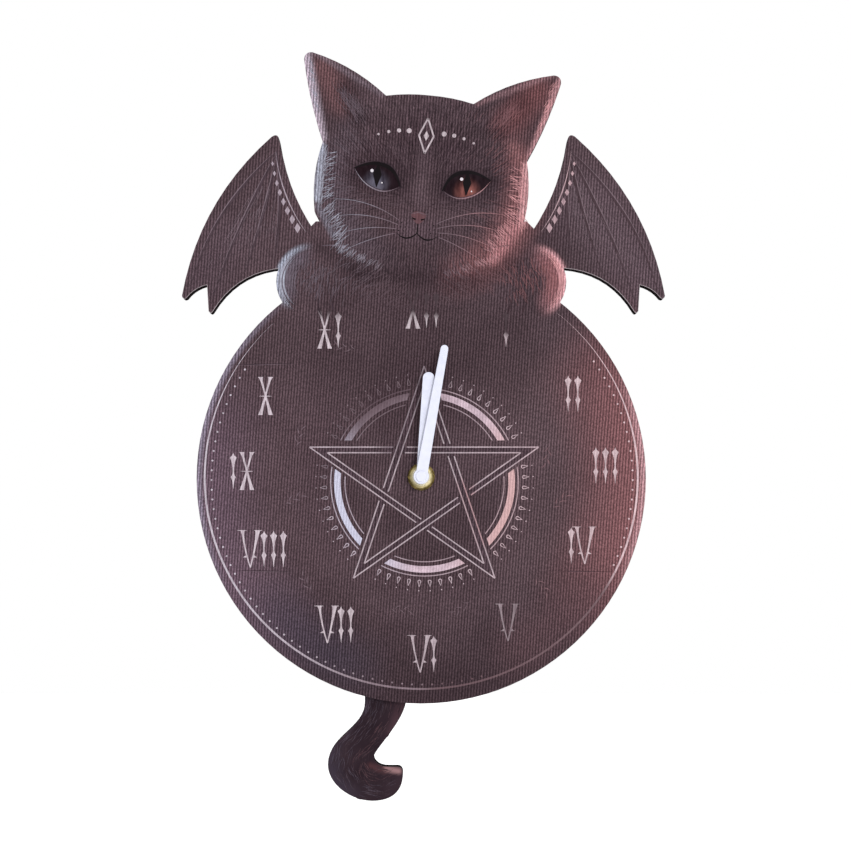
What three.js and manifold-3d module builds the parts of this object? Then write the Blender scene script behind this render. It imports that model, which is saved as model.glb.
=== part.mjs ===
// Wall clock in the outline of a winged cat, whose tail swings below the round dial as its pendulum.
// Millimetres, +Z up, +X to the viewer's right, front towards -Y.
// The origin is on the axis of the hands, in the plane of the wall behind the movement.
import * as THREE from "three";
import { mergeVertices } from "three/addons/utils/BufferGeometryUtils.js";
import Module from "manifold-3d";

const wasm = await Module();
wasm.setup();
const { degToRad } = THREE.MathUtils;

// Fits
const SEAT = 0.1; // gap between faces that rest on each other
const RUN = 0.12; // radial clearance of a turning fit
const SLIP = 0.25; // radial room of a hole that a fastener passes
const END_PLAY = 0.2; // from the end of an arbor to the wall it runs in

// Board and printed film
const DIAL_R = 102.3;
const DIAL_DROP = 0.9; // from the hand axis down to the dial's centre
const BOARD_T = 5;
const FILM_T = 0.4;

// A bow is how far the middle of an outline's edge stands off the straight line between its ends.

// Head, drawn upright about its own centre and then tilted
const HEAD_RISE = 35; // from the dial's top edge up to the head's centre
const HEAD_SHIFT = 0.5; // of the head's centre to the right of the dial's
const HEAD_TILT = 5.5; // degrees, clockwise as seen from the front
const CROWN_Z = 37.5;
const EAR_ROOT_X = 20;
const EAR_ROOT_Z = 35.5;
const EAR_TIP_X = 58.8;
const EAR_TIP_Z = 52;
const EAR_TIP_ROUND = 3.5;
const EAR_BACK_X = 46.7;
const EAR_BACK_Z = 12;
const JAW_X = 47.4;
const JAW_Z = -20;
const CHIN_Z = -46;
const CROWN_BOW = 0.6;
const EAR_FRONT_BOW = 2.2;
const EAR_TIP_BOW = 1.2;
const EAR_BACK_BOW = 1;
const CHEEK_BOW = 1.8;
const CHIN_BOW = 8;

// Paws on the dial's rim and the shoulders between them and the head
const PAW_R = 17.1;
const PAW_ANGLE = 28.6; // degrees from straight up, about the dial's centre
const SHOULDER_X = 48;
const SHOULDER_DROP = 20; // from the head's centre down to the top of the shoulders
const SHOULDER_BOW = 2;

// Wing, measured out from the centre of the paw beside it
const WING_SHIFT = 1; // of both wings to the right
const WING_LEAD_Z = 22; // where the front edge leaves the shoulder
const WING_TIP_X = 18.4;
const WING_TIP_Z = 66;
const WING_TIP_W = 3.5; // across the blunt tip
const WING_TIP_SLANT = 1.5; // from its outer corner down to its inner one
const WING_CLAW_X = 60;
const WING_CLAW_Z = -7.4;
const WING_NOTCH_X = 49.6;
const WING_NOTCH_Z = -1.4;
const WING_SPIKE_X = 47.9;
const WING_SPIKE_Z = -14.4;
const WING_ROOT_X = 15;
const WING_ROOT_Z = 6.2;
const WING_POINT_R = 1; // half the width of the claw's and the spike's blunt ends
const WING_LEAD_BOW = -2.6;
const WING_TIP_BOW = 1.5;
const WING_OUTER_BOW = 7.2;
const WING_POINT_BOW = 0.8;
const WING_WEB_BOW = -1;
const WING_HIND_BOW = -4.8;

// Hands
const HAND_T = 1.2;
const HAND_GAP = 0.8; // free space in front of and behind the hour hand
const HOUR_L = 47.2;
const HOUR_ROOT_W = 4.6;
const HOUR_TIP_W = 5.2;
const HOUR_HUB_R = 4.2;
const HOUR_ANGLE = 4.3; // degrees clockwise from straight up
const MINUTE_L = 60;
const MINUTE_ROOT_W = 5.2;
const MINUTE_TIP_W = 3.5;
const MINUTE_HUB_R = 3.5;
const MINUTE_ANGLE = 10.3;
const HUB_CAP_R = 2.4;
const HUB_CAP_T = 0.6;
const HUB_BORE_DEPTH = 0.9;

// Central bush and what it clamps
const MINUTE_SHAFT_R = 1.6;
const HOUR_TUBE_R = 2.5;
const BUSH_R = 4;
const BUSH_FLANGE_R = 6;
const BUSH_FLANGE_T = 1;
const BUSH_PROUD = 0.8; // thread left showing in front of the nut
const NUT_FLATS = 10.8; // across the flats
const NUT_T = 2.6;
const WASHER_R = 6.2;
const WASHER_T = 0.6;
const GASKET_R = 10;
const GASKET_T = 1;

// Battery, a standard AA cell, and its contacts
const CELL_R = 7.25;
const CELL_L = 50.5; // over the button
const BUTTON_R = 2.7;
const BUTTON_L = 1.2;
const CELL_PLAY = 0.25;
const CELL_RECESS = 0.65; // from the wall's plane in to the cell
const CONTACT_T = 0.4;
const CONTACT_BACK = 0.5; // room behind a contact for it to spring
const CONTACT_W = 7;
const CONTACT_H = 11;

// Movement case
const WALL = 1.6;
const RIB = 1.2;
const CORNER_R = 3;
const COVER_T = 1.6;
const PLAY = 1.6; // free space between a wheel and the wall beside it
const BOSS_WALL = 1;
const BOSS_H = 0.8;
const COVER_BOSS_H = 0.35;
const POST_R = 1.1;
const POST_INSET = 1.8; // from a plate's edge in to the middle of the post under it

// Gear train, with each pair's module, and the plane of each pair
const ADDENDUM = 0.8; // of the module
const DEDENDUM = 1.15;
const TOOTH_ROOT = 0.25; // half of a tooth's width at its root, of the pitch
const TOOTH_TIP = 0.1;
const CANNON_TEETH = 10;
const MOTION_TEETH = 30;
const MOTION_PINION_TEETH = 8;
const HOUR_TEETH = 32;
const MOTION_MODULE = 0.55;
const MINUTE_TEETH = 45;
const THIRD_PINION_TEETH = 6;
const MINUTE_MODULE = 0.4;
const THIRD_TEETH = 48;
const SECOND_PINION_TEETH = 6;
const THIRD_MODULE = 0.33;
const SECOND_TEETH = 36;
const INTERMEDIATE_PINION_TEETH = 6;
const SECOND_MODULE = 0.4;
const INTERMEDIATE_TEETH = 30;
const ROTOR_PINION_TEETH = 6;
const ROTOR_MODULE = 0.3;
const MOTION_BEARING = 60; // degrees from +X, from one axis towards the next
const THIRD_BEARING = 165;
const SECOND_BEARING = 95;
const INTERMEDIATE_BEARING = 75;
const ROTOR_BEARING = 0;
const WHEEL_T = 0.9;
const PINION_T = 1.7;
const LEVEL_STEP = 2.05;
const LEVEL_GAP = 0.6;
const ARBOR_R = 0.5;
const MOTION_ARBOR_R = 1.2;
const KNOB_R = 5;
const KNOB_T = 2.6;
const KNOB_RECESS = 0.6;
const KNOB_PLAY = 0.7;

// Stepping motor
const MAGNET_R = 2.6;
const MAGNET_T = 3;
const STATOR_AIR = 0.5; // air gap round the rotor's magnet
const STATOR_T = 0.8;
const STATOR_HALF_W = 4.6;
const STATOR_HALF_H = 4.2;
const STATOR_ARM_W = 2.6;
const CORE_W = 2.4;
const COIL_L = 17;
const COIL_FLANGE_R = 3.2;
const COIL_FLANGE_T = 0.8;
const COIL_WIRE_R = 2.9;
const COIL_HUB_R = 2.1;
const COIL_BORE_R = 1.45;

// Circuit board
const CIRCUIT_W = 9;
const CIRCUIT_H = 22;
const CIRCUIT_T = 1;
const CIRCUIT_BACK = -4.4; // its face towards the back cover
const CHIP_R = 3;
const CHIP_T = 1.4;
const CHIP_CROWN_R = 1.8; // where the drop of resin over the chip rounds over
const CHIP_CROWN_T = 1.1;
const CRYSTAL_R = 1;
const CRYSTAL_L = 6;

// Pendulum drive, arm and tail
const SWING = 8; // degrees each way
const PIVOT_DROP = 5; // from the rib under the battery down to the pivot
const PIVOT_R = 1;
const SWING_DEPTH = 38; // from the pivot down to the case's underside
const ARM_W = 6;
const ARM_T = 2;
const ARM_HUB_R = 3.4;
const PEG_DROP = 6; // from the case's underside down to the peg
const PEG_R = 1.2;
const PEG_PROUD = 0.3; // of the strip that hangs on it
const DRIVE_DROP = 24; // from the pivot down to the drive coil
const DRIVE_R = 8;
const DRIVE_WIRE_R = 7.4;
const DRIVE_HUB_R = 3;
const DRIVE_T = 3.4;
const DRIVE_FLANGE_T = 0.6;
const ARM_MAGNET_R = 3.6;
const ARM_MAGNET_T = 3;
const ARM_PAN_WALL = 1.2;
const TAIL_GAP = 2; // from the back of the board to the front of the tail
const STRIP_T = 1;
const STRIP_W = 6;
const STRIP_TOP = 3; // above the peg
const RIVET_R = 1.2;
const RIVET_HEAD_R = 2.2;
const RIVET_HEAD_T = 0.8;
const RIVET_PITCH = 8;
const ROOT_R = 8; // half the height of the tail's hidden root
const ROOT_DROP = 11; // from the peg down to the root's middle
const WEIGHT_X = 24.1;
const WEIGHT_R = 7.5;
const WEIGHT_T = 2.2; // makes the pendulum hang straight below its pivot

// Tail, measured from the lowest point of the dial's rim
const TAIL_RIGHT_X = -7;
const TAIL_LEFT_X = -26;
const TAIL_LEFT_RISE = 6; // from the dial's lowest point up to the left edge's hidden end
const TAIL_HOOK_X = -21.85; // deepest place of the hollow above the curl
const TAIL_HOOK_Z = -25.4;
const TAIL_END_X = -15.5; // left end of the curl's flat upper edge
const TAIL_END_Z = -30.1;
const TAIL_CURL_X = -8.4; // right end of the curl
const TAIL_CURL_Z = -33;
const TAIL_BASE_X = -22.5; // lowest place of the curl
const TAIL_BASE_Z = -45.8;
const TAIL_BELLY_X = -43.05; // left end of the curl
const TAIL_BELLY_Z = -29;
const TAIL_END_ROUND = 2.6;

// A reach is how far a curve would run straight on from its end, and so how slowly it turns there.
const TAIL_NECK_REACH = 6;
const TAIL_INNER_REACH = 10;
const TAIL_INNER_LEAN = 1.5;
const TAIL_HOOK_REACH = 3;
const TAIL_END_REACH = 1.7;
const TAIL_CURL_REACH = 8;
const TAIL_BASE_REACH = 9.5;
const TAIL_OUTER_REACH = 13;

// Wall hanger
const HANGER_T = 1;
const HANGER_W = 20;
const HANGER_H = 20; // above the case
const HANGER_FOOT = 9; // below the hand axis
const NAIL_HEAD_R = 4.6;
const NAIL_SHANK_R = 2.3;
const NAIL_DROP = 10; // from the hanger's top edge down to the middle of the round hole
const NAIL_LIFT = 5; // from there up to the end of the slot

// Places from back to front, along -Y
const CELL_Y = -(CELL_RECESS + CELL_R);
const FRONT_IN = CELL_Y - CELL_R - CELL_PLAY;
const CASE_FRONT = FRONT_IN - WALL;
const COVER_IN = -COVER_T;
const CASE_BACK = COVER_IN - SEAT;
const HANGER_BACK = CASE_FRONT - SEAT;
const GASKET_BACK = HANGER_BACK - HANGER_T - SEAT;
const BOARD_BACK = GASKET_BACK - GASKET_T - SEAT;
const FILM_BACK = BOARD_BACK - BOARD_T - SEAT;
const WASHER_BACK = FILM_BACK - FILM_T - SEAT;
const NUT_BACK = WASHER_BACK - WASHER_T - SEAT;
const BUSH_FRONT = NUT_BACK - NUT_T - BUSH_PROUD;
const HOUR_HAND_BACK = BUSH_FRONT - HAND_GAP;
const HOUR_TUBE_FRONT = HOUR_HAND_BACK - HAND_T - SEAT;
const MINUTE_HAND_BACK = HOUR_TUBE_FRONT - HAND_GAP;
const LEVEL_0 = FRONT_IN + SEAT + BUSH_FLANGE_T + LEVEL_GAP + WHEEL_T / 2;
const level = (index) => LEVEL_0 + index * LEVEL_STEP;
const TAIL_FILM_BACK = BOARD_BACK + TAIL_GAP + FILM_T;
const TAIL_BACK = TAIL_FILM_BACK + SEAT + BOARD_T;
const STRIP_BACK = TAIL_BACK + SEAT + STRIP_T;
const ARM_BACK = STRIP_BACK + SEAT + ARM_T;

// Axes of the train, each one set off from the axis that drives it
const apart = (from, bearing, teeth, module) => ({
  x: from.x + ((teeth * module) / 2) * Math.cos(degToRad(bearing)),
  z: from.z + ((teeth * module) / 2) * Math.sin(degToRad(bearing)),
});
const HAND_AXIS = { x: 0, z: 0 };
const MOTION_AXIS = apart(HAND_AXIS, MOTION_BEARING, CANNON_TEETH + MOTION_TEETH, MOTION_MODULE);
const THIRD_AXIS = apart(HAND_AXIS, THIRD_BEARING, MINUTE_TEETH + THIRD_PINION_TEETH, MINUTE_MODULE);
const SECOND_AXIS = apart(THIRD_AXIS, SECOND_BEARING, THIRD_TEETH + SECOND_PINION_TEETH, THIRD_MODULE);
const INTERMEDIATE_AXIS = apart(
  SECOND_AXIS, INTERMEDIATE_BEARING, SECOND_TEETH + INTERMEDIATE_PINION_TEETH, SECOND_MODULE,
);
const ROTOR_AXIS = apart(
  INTERMEDIATE_AXIS, ROTOR_BEARING, INTERMEDIATE_TEETH + ROTOR_PINION_TEETH, ROTOR_MODULE,
);
const tipRadius = (teeth, module) => module * (teeth / 2 + ADDENDUM);

// Places across the case
const INNER_X = CELL_L / 2 + CELL_PLAY + CONTACT_T + CONTACT_BACK;
const CASE_W = 2 * (INNER_X + WALL);
const CONTACT_X = CELL_L / 2 + CELL_PLAY;
const TRAIN_TOP = INTERMEDIATE_AXIS.z + tipRadius(INTERMEDIATE_TEETH, ROTOR_MODULE) + PLAY;
const CASE_TOP = TRAIN_TOP + WALL;
const TRAIN_FLOOR = -tipRadius(HOUR_TEETH, MOTION_MODULE) - PLAY;
const BAY_TOP = TRAIN_FLOOR - RIB;
const CELL_Z = BAY_TOP - CELL_PLAY - CELL_R;
const BAY_BOTTOM = CELL_Z - CELL_R - CELL_PLAY;
const SWING_TOP = BAY_BOTTOM - RIB;
const PIVOT_Z = SWING_TOP - PIVOT_DROP;
const CASE_BOTTOM = PIVOT_Z - SWING_DEPTH;
const PEG_Z = CASE_BOTTOM - PEG_DROP;
const DRIVE_Z = PIVOT_Z - DRIVE_DROP;
const ROOT_Z = PEG_Z - ROOT_DROP;
const DIAL_TOP = DIAL_R - DIAL_DROP;
const DIAL_BOTTOM = -DIAL_R - DIAL_DROP;
const HEAD_Z = DIAL_TOP + HEAD_RISE;
const COIL_Z = TRAIN_TOP - PLAY / 2 - COIL_FLANGE_R;
const COIL_RIGHT = INNER_X - PLAY - STATOR_ARM_W;
const COIL_LEFT = COIL_RIGHT - COIL_L;
const STATOR_BACK = (level(2) + level(3)) / 2;
const CORE_BACK = STATOR_BACK + SEAT + STATOR_T;
const COIL_Y = CORE_BACK - STATOR_T / 2;

const CURVE_STEPS = 8; // steps along a curve, and along half of a round
const CORNER_STEPS = 2; // half the steps round a corner of the case
const RIM_STEPS = 54; // steps along half of the dial's rim
const FLATNESS = 0.06; // largest distance from a bowed edge to its straight steps
const SMALL_R = 2; // rounds under this radius have fewer sides
const SMALL_SIDES = 12;
const sidesOf = (radius) => (radius < SMALL_R ? SMALL_SIDES : 2 * CURVE_STEPS);

const finish = (color, roughness, metalness = 0) =>
  new THREE.MeshStandardMaterial({ color, roughness, metalness });
const boardBlack = finish(0x17130f, 0.75);
const filmPlum = finish(0x4b3c41, 0.55);
const handWhite = finish(0xe9ecf2, 0.4);
const brass = finish(0xb58a3c, 0.3, 1);
const steel = finish(0x9a9ea3, 0.35, 1);
const caseBlack = finish(0x141416, 0.5);
const gearWhite = finish(0xe4e1d6, 0.5);
const rubber = finish(0x0f0f10, 0.85);
const copper = finish(0xa8552a, 0.35, 1);
const circuitGreen = finish(0x1f5a3a, 0.5);
const cellShell = finish(0x2b2f36, 0.35);
const magnetGrey = finish(0x4a4c50, 0.4, 1);

// Booleans

function solid(geometry) {
  const bare = new THREE.BufferGeometry();
  bare.setAttribute("position", geometry.getAttribute("position"));
  bare.setIndex(geometry.getIndex());
  const merged = mergeVertices(bare, 1e-4);
  return new wasm.Manifold(new wasm.Mesh({
    numProp: 3,
    vertProperties: Float32Array.from(merged.getAttribute("position").array),
    triVerts: Uint32Array.from(merged.getIndex().array),
  }));
}

function geometryOf(body) {
  const mesh = body.getMesh();
  const geometry = new THREE.BufferGeometry();
  geometry.setAttribute("position", new THREE.BufferAttribute(Float32Array.from(mesh.vertProperties), 3));
  geometry.setIndex(new THREE.BufferAttribute(Uint32Array.from(mesh.triVerts), 1));
  geometry.computeVertexNormals();
  return geometry;
}

const join = (...pieces) => geometryOf(pieces.map(solid).reduce((whole, piece) => whole.add(piece)));
const cut = (stock, ...tools) =>
  geometryOf(tools.map(solid).reduce((rest, tool) => rest.subtract(tool), solid(stock)));

// Shapes that stand in the XZ plane, and rounds along Y

function slab(shape, back, thickness, curveSegments = CURVE_STEPS) {
  const options = { depth: thickness, bevelEnabled: false, curveSegments };
  return new THREE.ExtrudeGeometry(shape, options).rotateX(Math.PI / 2).translate(0, back, 0);
}

function circle(radius, x = 0, z = 0) {
  const shape = new THREE.Shape();
  shape.absarc(x, z, radius, 0, 2 * Math.PI);
  return shape;
}

function rectangle(left, right, bottom, top) {
  const shape = new THREE.Shape();
  shape.moveTo(left, bottom);
  shape.lineTo(right, bottom);
  shape.lineTo(right, top);
  shape.lineTo(left, top);
  return shape;
}

function roundedRectangle(left, right, bottom, top, radius) {
  const shape = new THREE.Shape();
  shape.absarc(right - radius, top - radius, radius, 0, Math.PI / 2);
  shape.absarc(left + radius, top - radius, radius, Math.PI / 2, Math.PI);
  shape.absarc(left + radius, bottom + radius, radius, Math.PI, 1.5 * Math.PI);
  shape.absarc(right - radius, bottom + radius, radius, 1.5 * Math.PI, 2 * Math.PI);
  return shape;
}

// A bar with round ends, between two points.
function capsule(from, to, radius) {
  const along = Math.atan2(to.z - from.z, to.x - from.x);
  const shape = new THREE.Shape();
  shape.absarc(to.x, to.z, radius, along - Math.PI / 2, along + Math.PI / 2);
  shape.absarc(from.x, from.z, radius, along + Math.PI / 2, along + 1.5 * Math.PI);
  return shape;
}

// An edge to x, z whose middle stands off the straight line by bow, to the left of the way it runs.
function bowTo(path, x, z, bow) {
  const from = path.currentPoint.clone();
  const to = new THREE.Vector2(x, z);
  const side = (2 * bow) / from.distanceTo(to);
  const control = from.clone().add(to).multiplyScalar(0.5);
  control.x -= (z - from.y) * side;
  control.y += (x - from.x) * side;
  const steps = Math.ceil(Math.sqrt(Math.abs(bow) / FLATNESS));
  const points = new THREE.QuadraticBezierCurve(from, control, to).getPoints(steps);
  points.slice(1).forEach((point) => path.lineTo(point.x, point.y));
}

// An edge to x, z that leaves its start along one step and arrives at its end along another.
function turnTo(path, x, z, leave, arrive) {
  const from = path.currentPoint.clone();
  const to = new THREE.Vector2(x, z);
  const first = new THREE.Vector2(...leave).add(from);
  const last = to.clone().sub(new THREE.Vector2(...arrive));
  const steps = Math.ceil(Math.sqrt(Math.max(Math.hypot(...leave), Math.hypot(...arrive)) / FLATNESS));
  const points = new THREE.CubicBezierCurve(from, first, last, to).getPoints(steps);
  points.slice(1).forEach((point) => path.lineTo(point.x, point.y));
}

function revolve(profile) {
  const widest = Math.max(...profile.map(([radius]) => radius));
  return new THREE.LatheGeometry(profile.map(([radius, y]) => new THREE.Vector2(radius, y)), sidesOf(widest));
}

const rod = (radius, front, back) => revolve([[0, front], [radius, front], [radius, back], [0, back]]);
const tube = (radius, bore, front, back) =>
  revolve([[bore, front], [radius, front], [radius, back], [bore, back], [bore, front]]);
const box = (left, right, front, back, bottom, top) =>
  slab(rectangle(left, right, bottom, top), back, back - front);
const at = (geometry, axis) => geometry.translate(axis.x, 0, axis.z);

function part(name, geometry, material, x = 0, y = 0, z = 0) {
  const mesh = new THREE.Mesh(geometry, material);
  mesh.name = name;
  mesh.position.set(x, y, z);
  return mesh;
}

// Cat board: dial, head, shoulders, paws and wings joined into one outline

function headOutline() {
  const half = new THREE.Path();
  half.moveTo(0, CROWN_Z);
  bowTo(half, EAR_ROOT_X, EAR_ROOT_Z, CROWN_BOW);
  bowTo(half, EAR_TIP_X - EAR_TIP_ROUND, EAR_TIP_Z, EAR_FRONT_BOW);
  bowTo(half, EAR_TIP_X, EAR_TIP_Z - EAR_TIP_ROUND, EAR_TIP_BOW);
  bowTo(half, EAR_BACK_X, EAR_BACK_Z, EAR_BACK_BOW);
  bowTo(half, JAW_X, JAW_Z, CHEEK_BOW);
  bowTo(half, 0, CHIN_Z, CHIN_BOW);
  const right = half.getPoints();
  const left = right.slice(1, -1).reverse().map((point) => new THREE.Vector2(-point.x, point.y));
  const middle = new THREE.Vector2(0, 0);
  const centre = new THREE.Vector2(HEAD_SHIFT, HEAD_Z);
  const place = (point) => point.clone().rotateAround(middle, degToRad(-HEAD_TILT)).add(centre);
  return new THREE.Shape([...right, ...left].map(place));
}

const PAW_X = DIAL_R * Math.sin(degToRad(PAW_ANGLE));
const PAW_Z = DIAL_R * Math.cos(degToRad(PAW_ANGLE)) - DIAL_DROP;

function shoulderOutline() {
  const shape = new THREE.Shape();
  shape.moveTo(-SHOULDER_X, HEAD_Z - SHOULDER_DROP);
  shape.lineTo(SHOULDER_X, HEAD_Z - SHOULDER_DROP);
  bowTo(shape, PAW_X + PAW_R, PAW_Z, SHOULDER_BOW);
  shape.lineTo(PAW_X, PAW_Z - PAW_R);
  shape.lineTo(-PAW_X, PAW_Z - PAW_R);
  shape.lineTo(-PAW_X - PAW_R, PAW_Z);
  bowTo(shape, -SHOULDER_X, HEAD_Z - SHOULDER_DROP, SHOULDER_BOW);
  return shape;
}

// Right wing, about the centre of its paw: front edge, tip, outer edge, claw, spike and hollow hind edge.
function wingPoints() {
  const path = new THREE.Path();
  path.moveTo(0, 0);
  path.lineTo(0, WING_LEAD_Z);
  bowTo(path, WING_TIP_X - WING_TIP_W / 2, WING_TIP_Z - WING_TIP_SLANT, WING_LEAD_BOW);
  bowTo(path, WING_TIP_X + WING_TIP_W / 2, WING_TIP_Z, WING_TIP_BOW);
  bowTo(path, WING_CLAW_X + WING_POINT_R, WING_CLAW_Z + WING_POINT_R, WING_OUTER_BOW);
  bowTo(path, WING_CLAW_X - WING_POINT_R, WING_CLAW_Z, WING_POINT_BOW);
  bowTo(path, WING_NOTCH_X, WING_NOTCH_Z, WING_WEB_BOW);
  path.lineTo(WING_SPIKE_X + WING_POINT_R, WING_SPIKE_Z + WING_POINT_R);
  bowTo(path, WING_SPIKE_X - WING_POINT_R, WING_SPIKE_Z + WING_POINT_R, WING_POINT_BOW);
  bowTo(path, WING_ROOT_X, WING_ROOT_Z, WING_HIND_BOW);
  return path.getPoints();
}

function wingOutline(side) {
  const place = (point) => new THREE.Vector2(WING_SHIFT + side * (PAW_X + point.x), PAW_Z + point.y);
  return new THREE.Shape(wingPoints().map(place));
}

function catPlate(back, thickness) {
  return cut(
    join(
      slab(circle(DIAL_R, 0, -DIAL_DROP), back, thickness, RIM_STEPS),
      slab(headOutline(), back, thickness),
      slab(shoulderOutline(), back, thickness),
      slab(circle(PAW_R, PAW_X, PAW_Z), back, thickness, 2 * CURVE_STEPS),
      slab(circle(PAW_R, -PAW_X, PAW_Z), back, thickness, 2 * CURVE_STEPS),
      slab(wingOutline(1), back, thickness),
      slab(wingOutline(-1), back, thickness),
    ),
    rod(BUSH_R + SLIP, back - 2 * thickness, back + thickness),
  );
}

function catBoard() {
  const group = new THREE.Group();
  group.add(part("backing_board", catPlate(BOARD_BACK, BOARD_T), boardBlack));
  group.add(part("face_film", catPlate(FILM_BACK, FILM_T), filmPlum));
  return group;
}

// Hands, drawn pointing up and then turned about the hand axis

function handOutline(length, rootWidth, tipWidth, hubRadius) {
  const tipZ = length - tipWidth / 2;
  const rise = Math.asin(rootWidth / 2 / hubRadius);
  const shape = new THREE.Shape();
  shape.absarc(0, tipZ, tipWidth / 2, 0, Math.PI);
  shape.absarc(0, 0, hubRadius, Math.PI / 2 + rise, 2.5 * Math.PI - rise);
  return shape;
}

function hands() {
  const group = new THREE.Group();
  const hourShape = handOutline(HOUR_L, HOUR_ROOT_W, HOUR_TIP_W, HOUR_HUB_R);
  hourShape.holes.push(circle(HOUR_TUBE_R + SEAT));
  const hour = part("hour_hand", slab(hourShape, HOUR_HAND_BACK, HAND_T), handWhite);
  hour.rotation.y = degToRad(HOUR_ANGLE);
  const minuteShape = handOutline(MINUTE_L, MINUTE_ROOT_W, MINUTE_TIP_W, MINUTE_HUB_R);
  const blade = slab(minuteShape, MINUTE_HAND_BACK, HAND_T);
  const cap = rod(HUB_CAP_R, MINUTE_HAND_BACK - HAND_T - HUB_CAP_T, MINUTE_HAND_BACK - HAND_T / 2);
  const bore = rod(MINUTE_SHAFT_R + SEAT, MINUTE_HAND_BACK - HUB_BORE_DEPTH, MINUTE_HAND_BACK + HAND_T);
  const minute = part("minute_hand", cut(join(blade, cap), bore), handWhite);
  minute.rotation.y = degToRad(MINUTE_ANGLE);
  group.add(hour, minute);
  return group;
}

// Bush, gasket, washer and nut that clamp the board to the movement

function clamping() {
  const group = new THREE.Group();
  const bore = HOUR_TUBE_R + RUN;
  const flangeFront = FRONT_IN + SEAT;
  const flangeBack = flangeFront + BUSH_FLANGE_T;
  group.add(part("threaded_bush", revolve([
    [bore, BUSH_FRONT], [BUSH_R, BUSH_FRONT], [BUSH_R, flangeFront], [BUSH_FLANGE_R, flangeFront],
    [BUSH_FLANGE_R, flangeBack], [bore, flangeBack], [bore, BUSH_FRONT],
  ]), brass));
  const hole = BUSH_R + SLIP;
  group.add(part("rubber_gasket", tube(GASKET_R, hole, GASKET_BACK - GASKET_T, GASKET_BACK), rubber));
  group.add(part("bush_washer", tube(WASHER_R, hole, WASHER_BACK - WASHER_T, WASHER_BACK), brass));
  const corner = new THREE.Vector2(NUT_FLATS / 2 / Math.cos(Math.PI / 6), 0);
  const middle = new THREE.Vector2(0, 0);
  const turns = [...Array(6).keys()].map((index) => (index * Math.PI) / 3);
  const nut = new THREE.Shape(turns.map((turn) => corner.clone().rotateAround(middle, turn)));
  nut.holes.push(circle(BUSH_R + SEAT));
  group.add(part("bush_nut", slab(nut, NUT_BACK, NUT_T), brass));
  return group;
}

// Movement case, open at the back, with one chamber each for the train, the cell and the pendulum drive

const boss = (axis, radius, wall, height) => at(rod(radius + RUN + BOSS_WALL, wall, wall + height), axis);
const pocket = (axis, radius, wall, height) =>
  at(rod(radius + RUN, wall + SEAT / 2, wall + 2 * height), axis);
const PIVOT_AXIS = { x: 0, z: PIVOT_Z };
const FAST_AXES = [THIRD_AXIS, SECOND_AXIS, INTERMEDIATE_AXIS, ROTOR_AXIS];
const FRONT_BEARINGS = [
  ...FAST_AXES.map((axis) => [axis, ARBOR_R]), [MOTION_AXIS, MOTION_ARBOR_R], [PIVOT_AXIS, PIVOT_R],
];
const COVER_BEARINGS = [
  ...FAST_AXES.map((axis) => [axis, ARBOR_R]), [HAND_AXIS, MINUTE_SHAFT_R], [PIVOT_AXIS, PIVOT_R],
];
const CIRCUIT_RIGHT = CONTACT_X - SEAT;
const CIRCUIT_LEFT = CIRCUIT_RIGHT - CIRCUIT_W;
const CIRCUIT_BOTTOM = TRAIN_FLOOR + 2 * SEAT + CONTACT_T;
const CIRCUIT_TOP = CIRCUIT_BOTTOM + CIRCUIT_H;
const CIRCUIT_X = (CIRCUIT_LEFT + CIRCUIT_RIGHT) / 2;
const CIRCUIT_FRONT = CIRCUIT_BACK - CIRCUIT_T;
const ARM_REACH = SWING_DEPTH * Math.tan(degToRad(SWING)) + ARM_W / 2 / Math.cos(degToRad(SWING));
const SLOT_HALF = ARM_REACH + PLAY / 2;

function post(x, z, back) {
  return at(rod(POST_R, FRONT_IN - WALL / 2, back - SEAT), { x, z });
}

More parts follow.
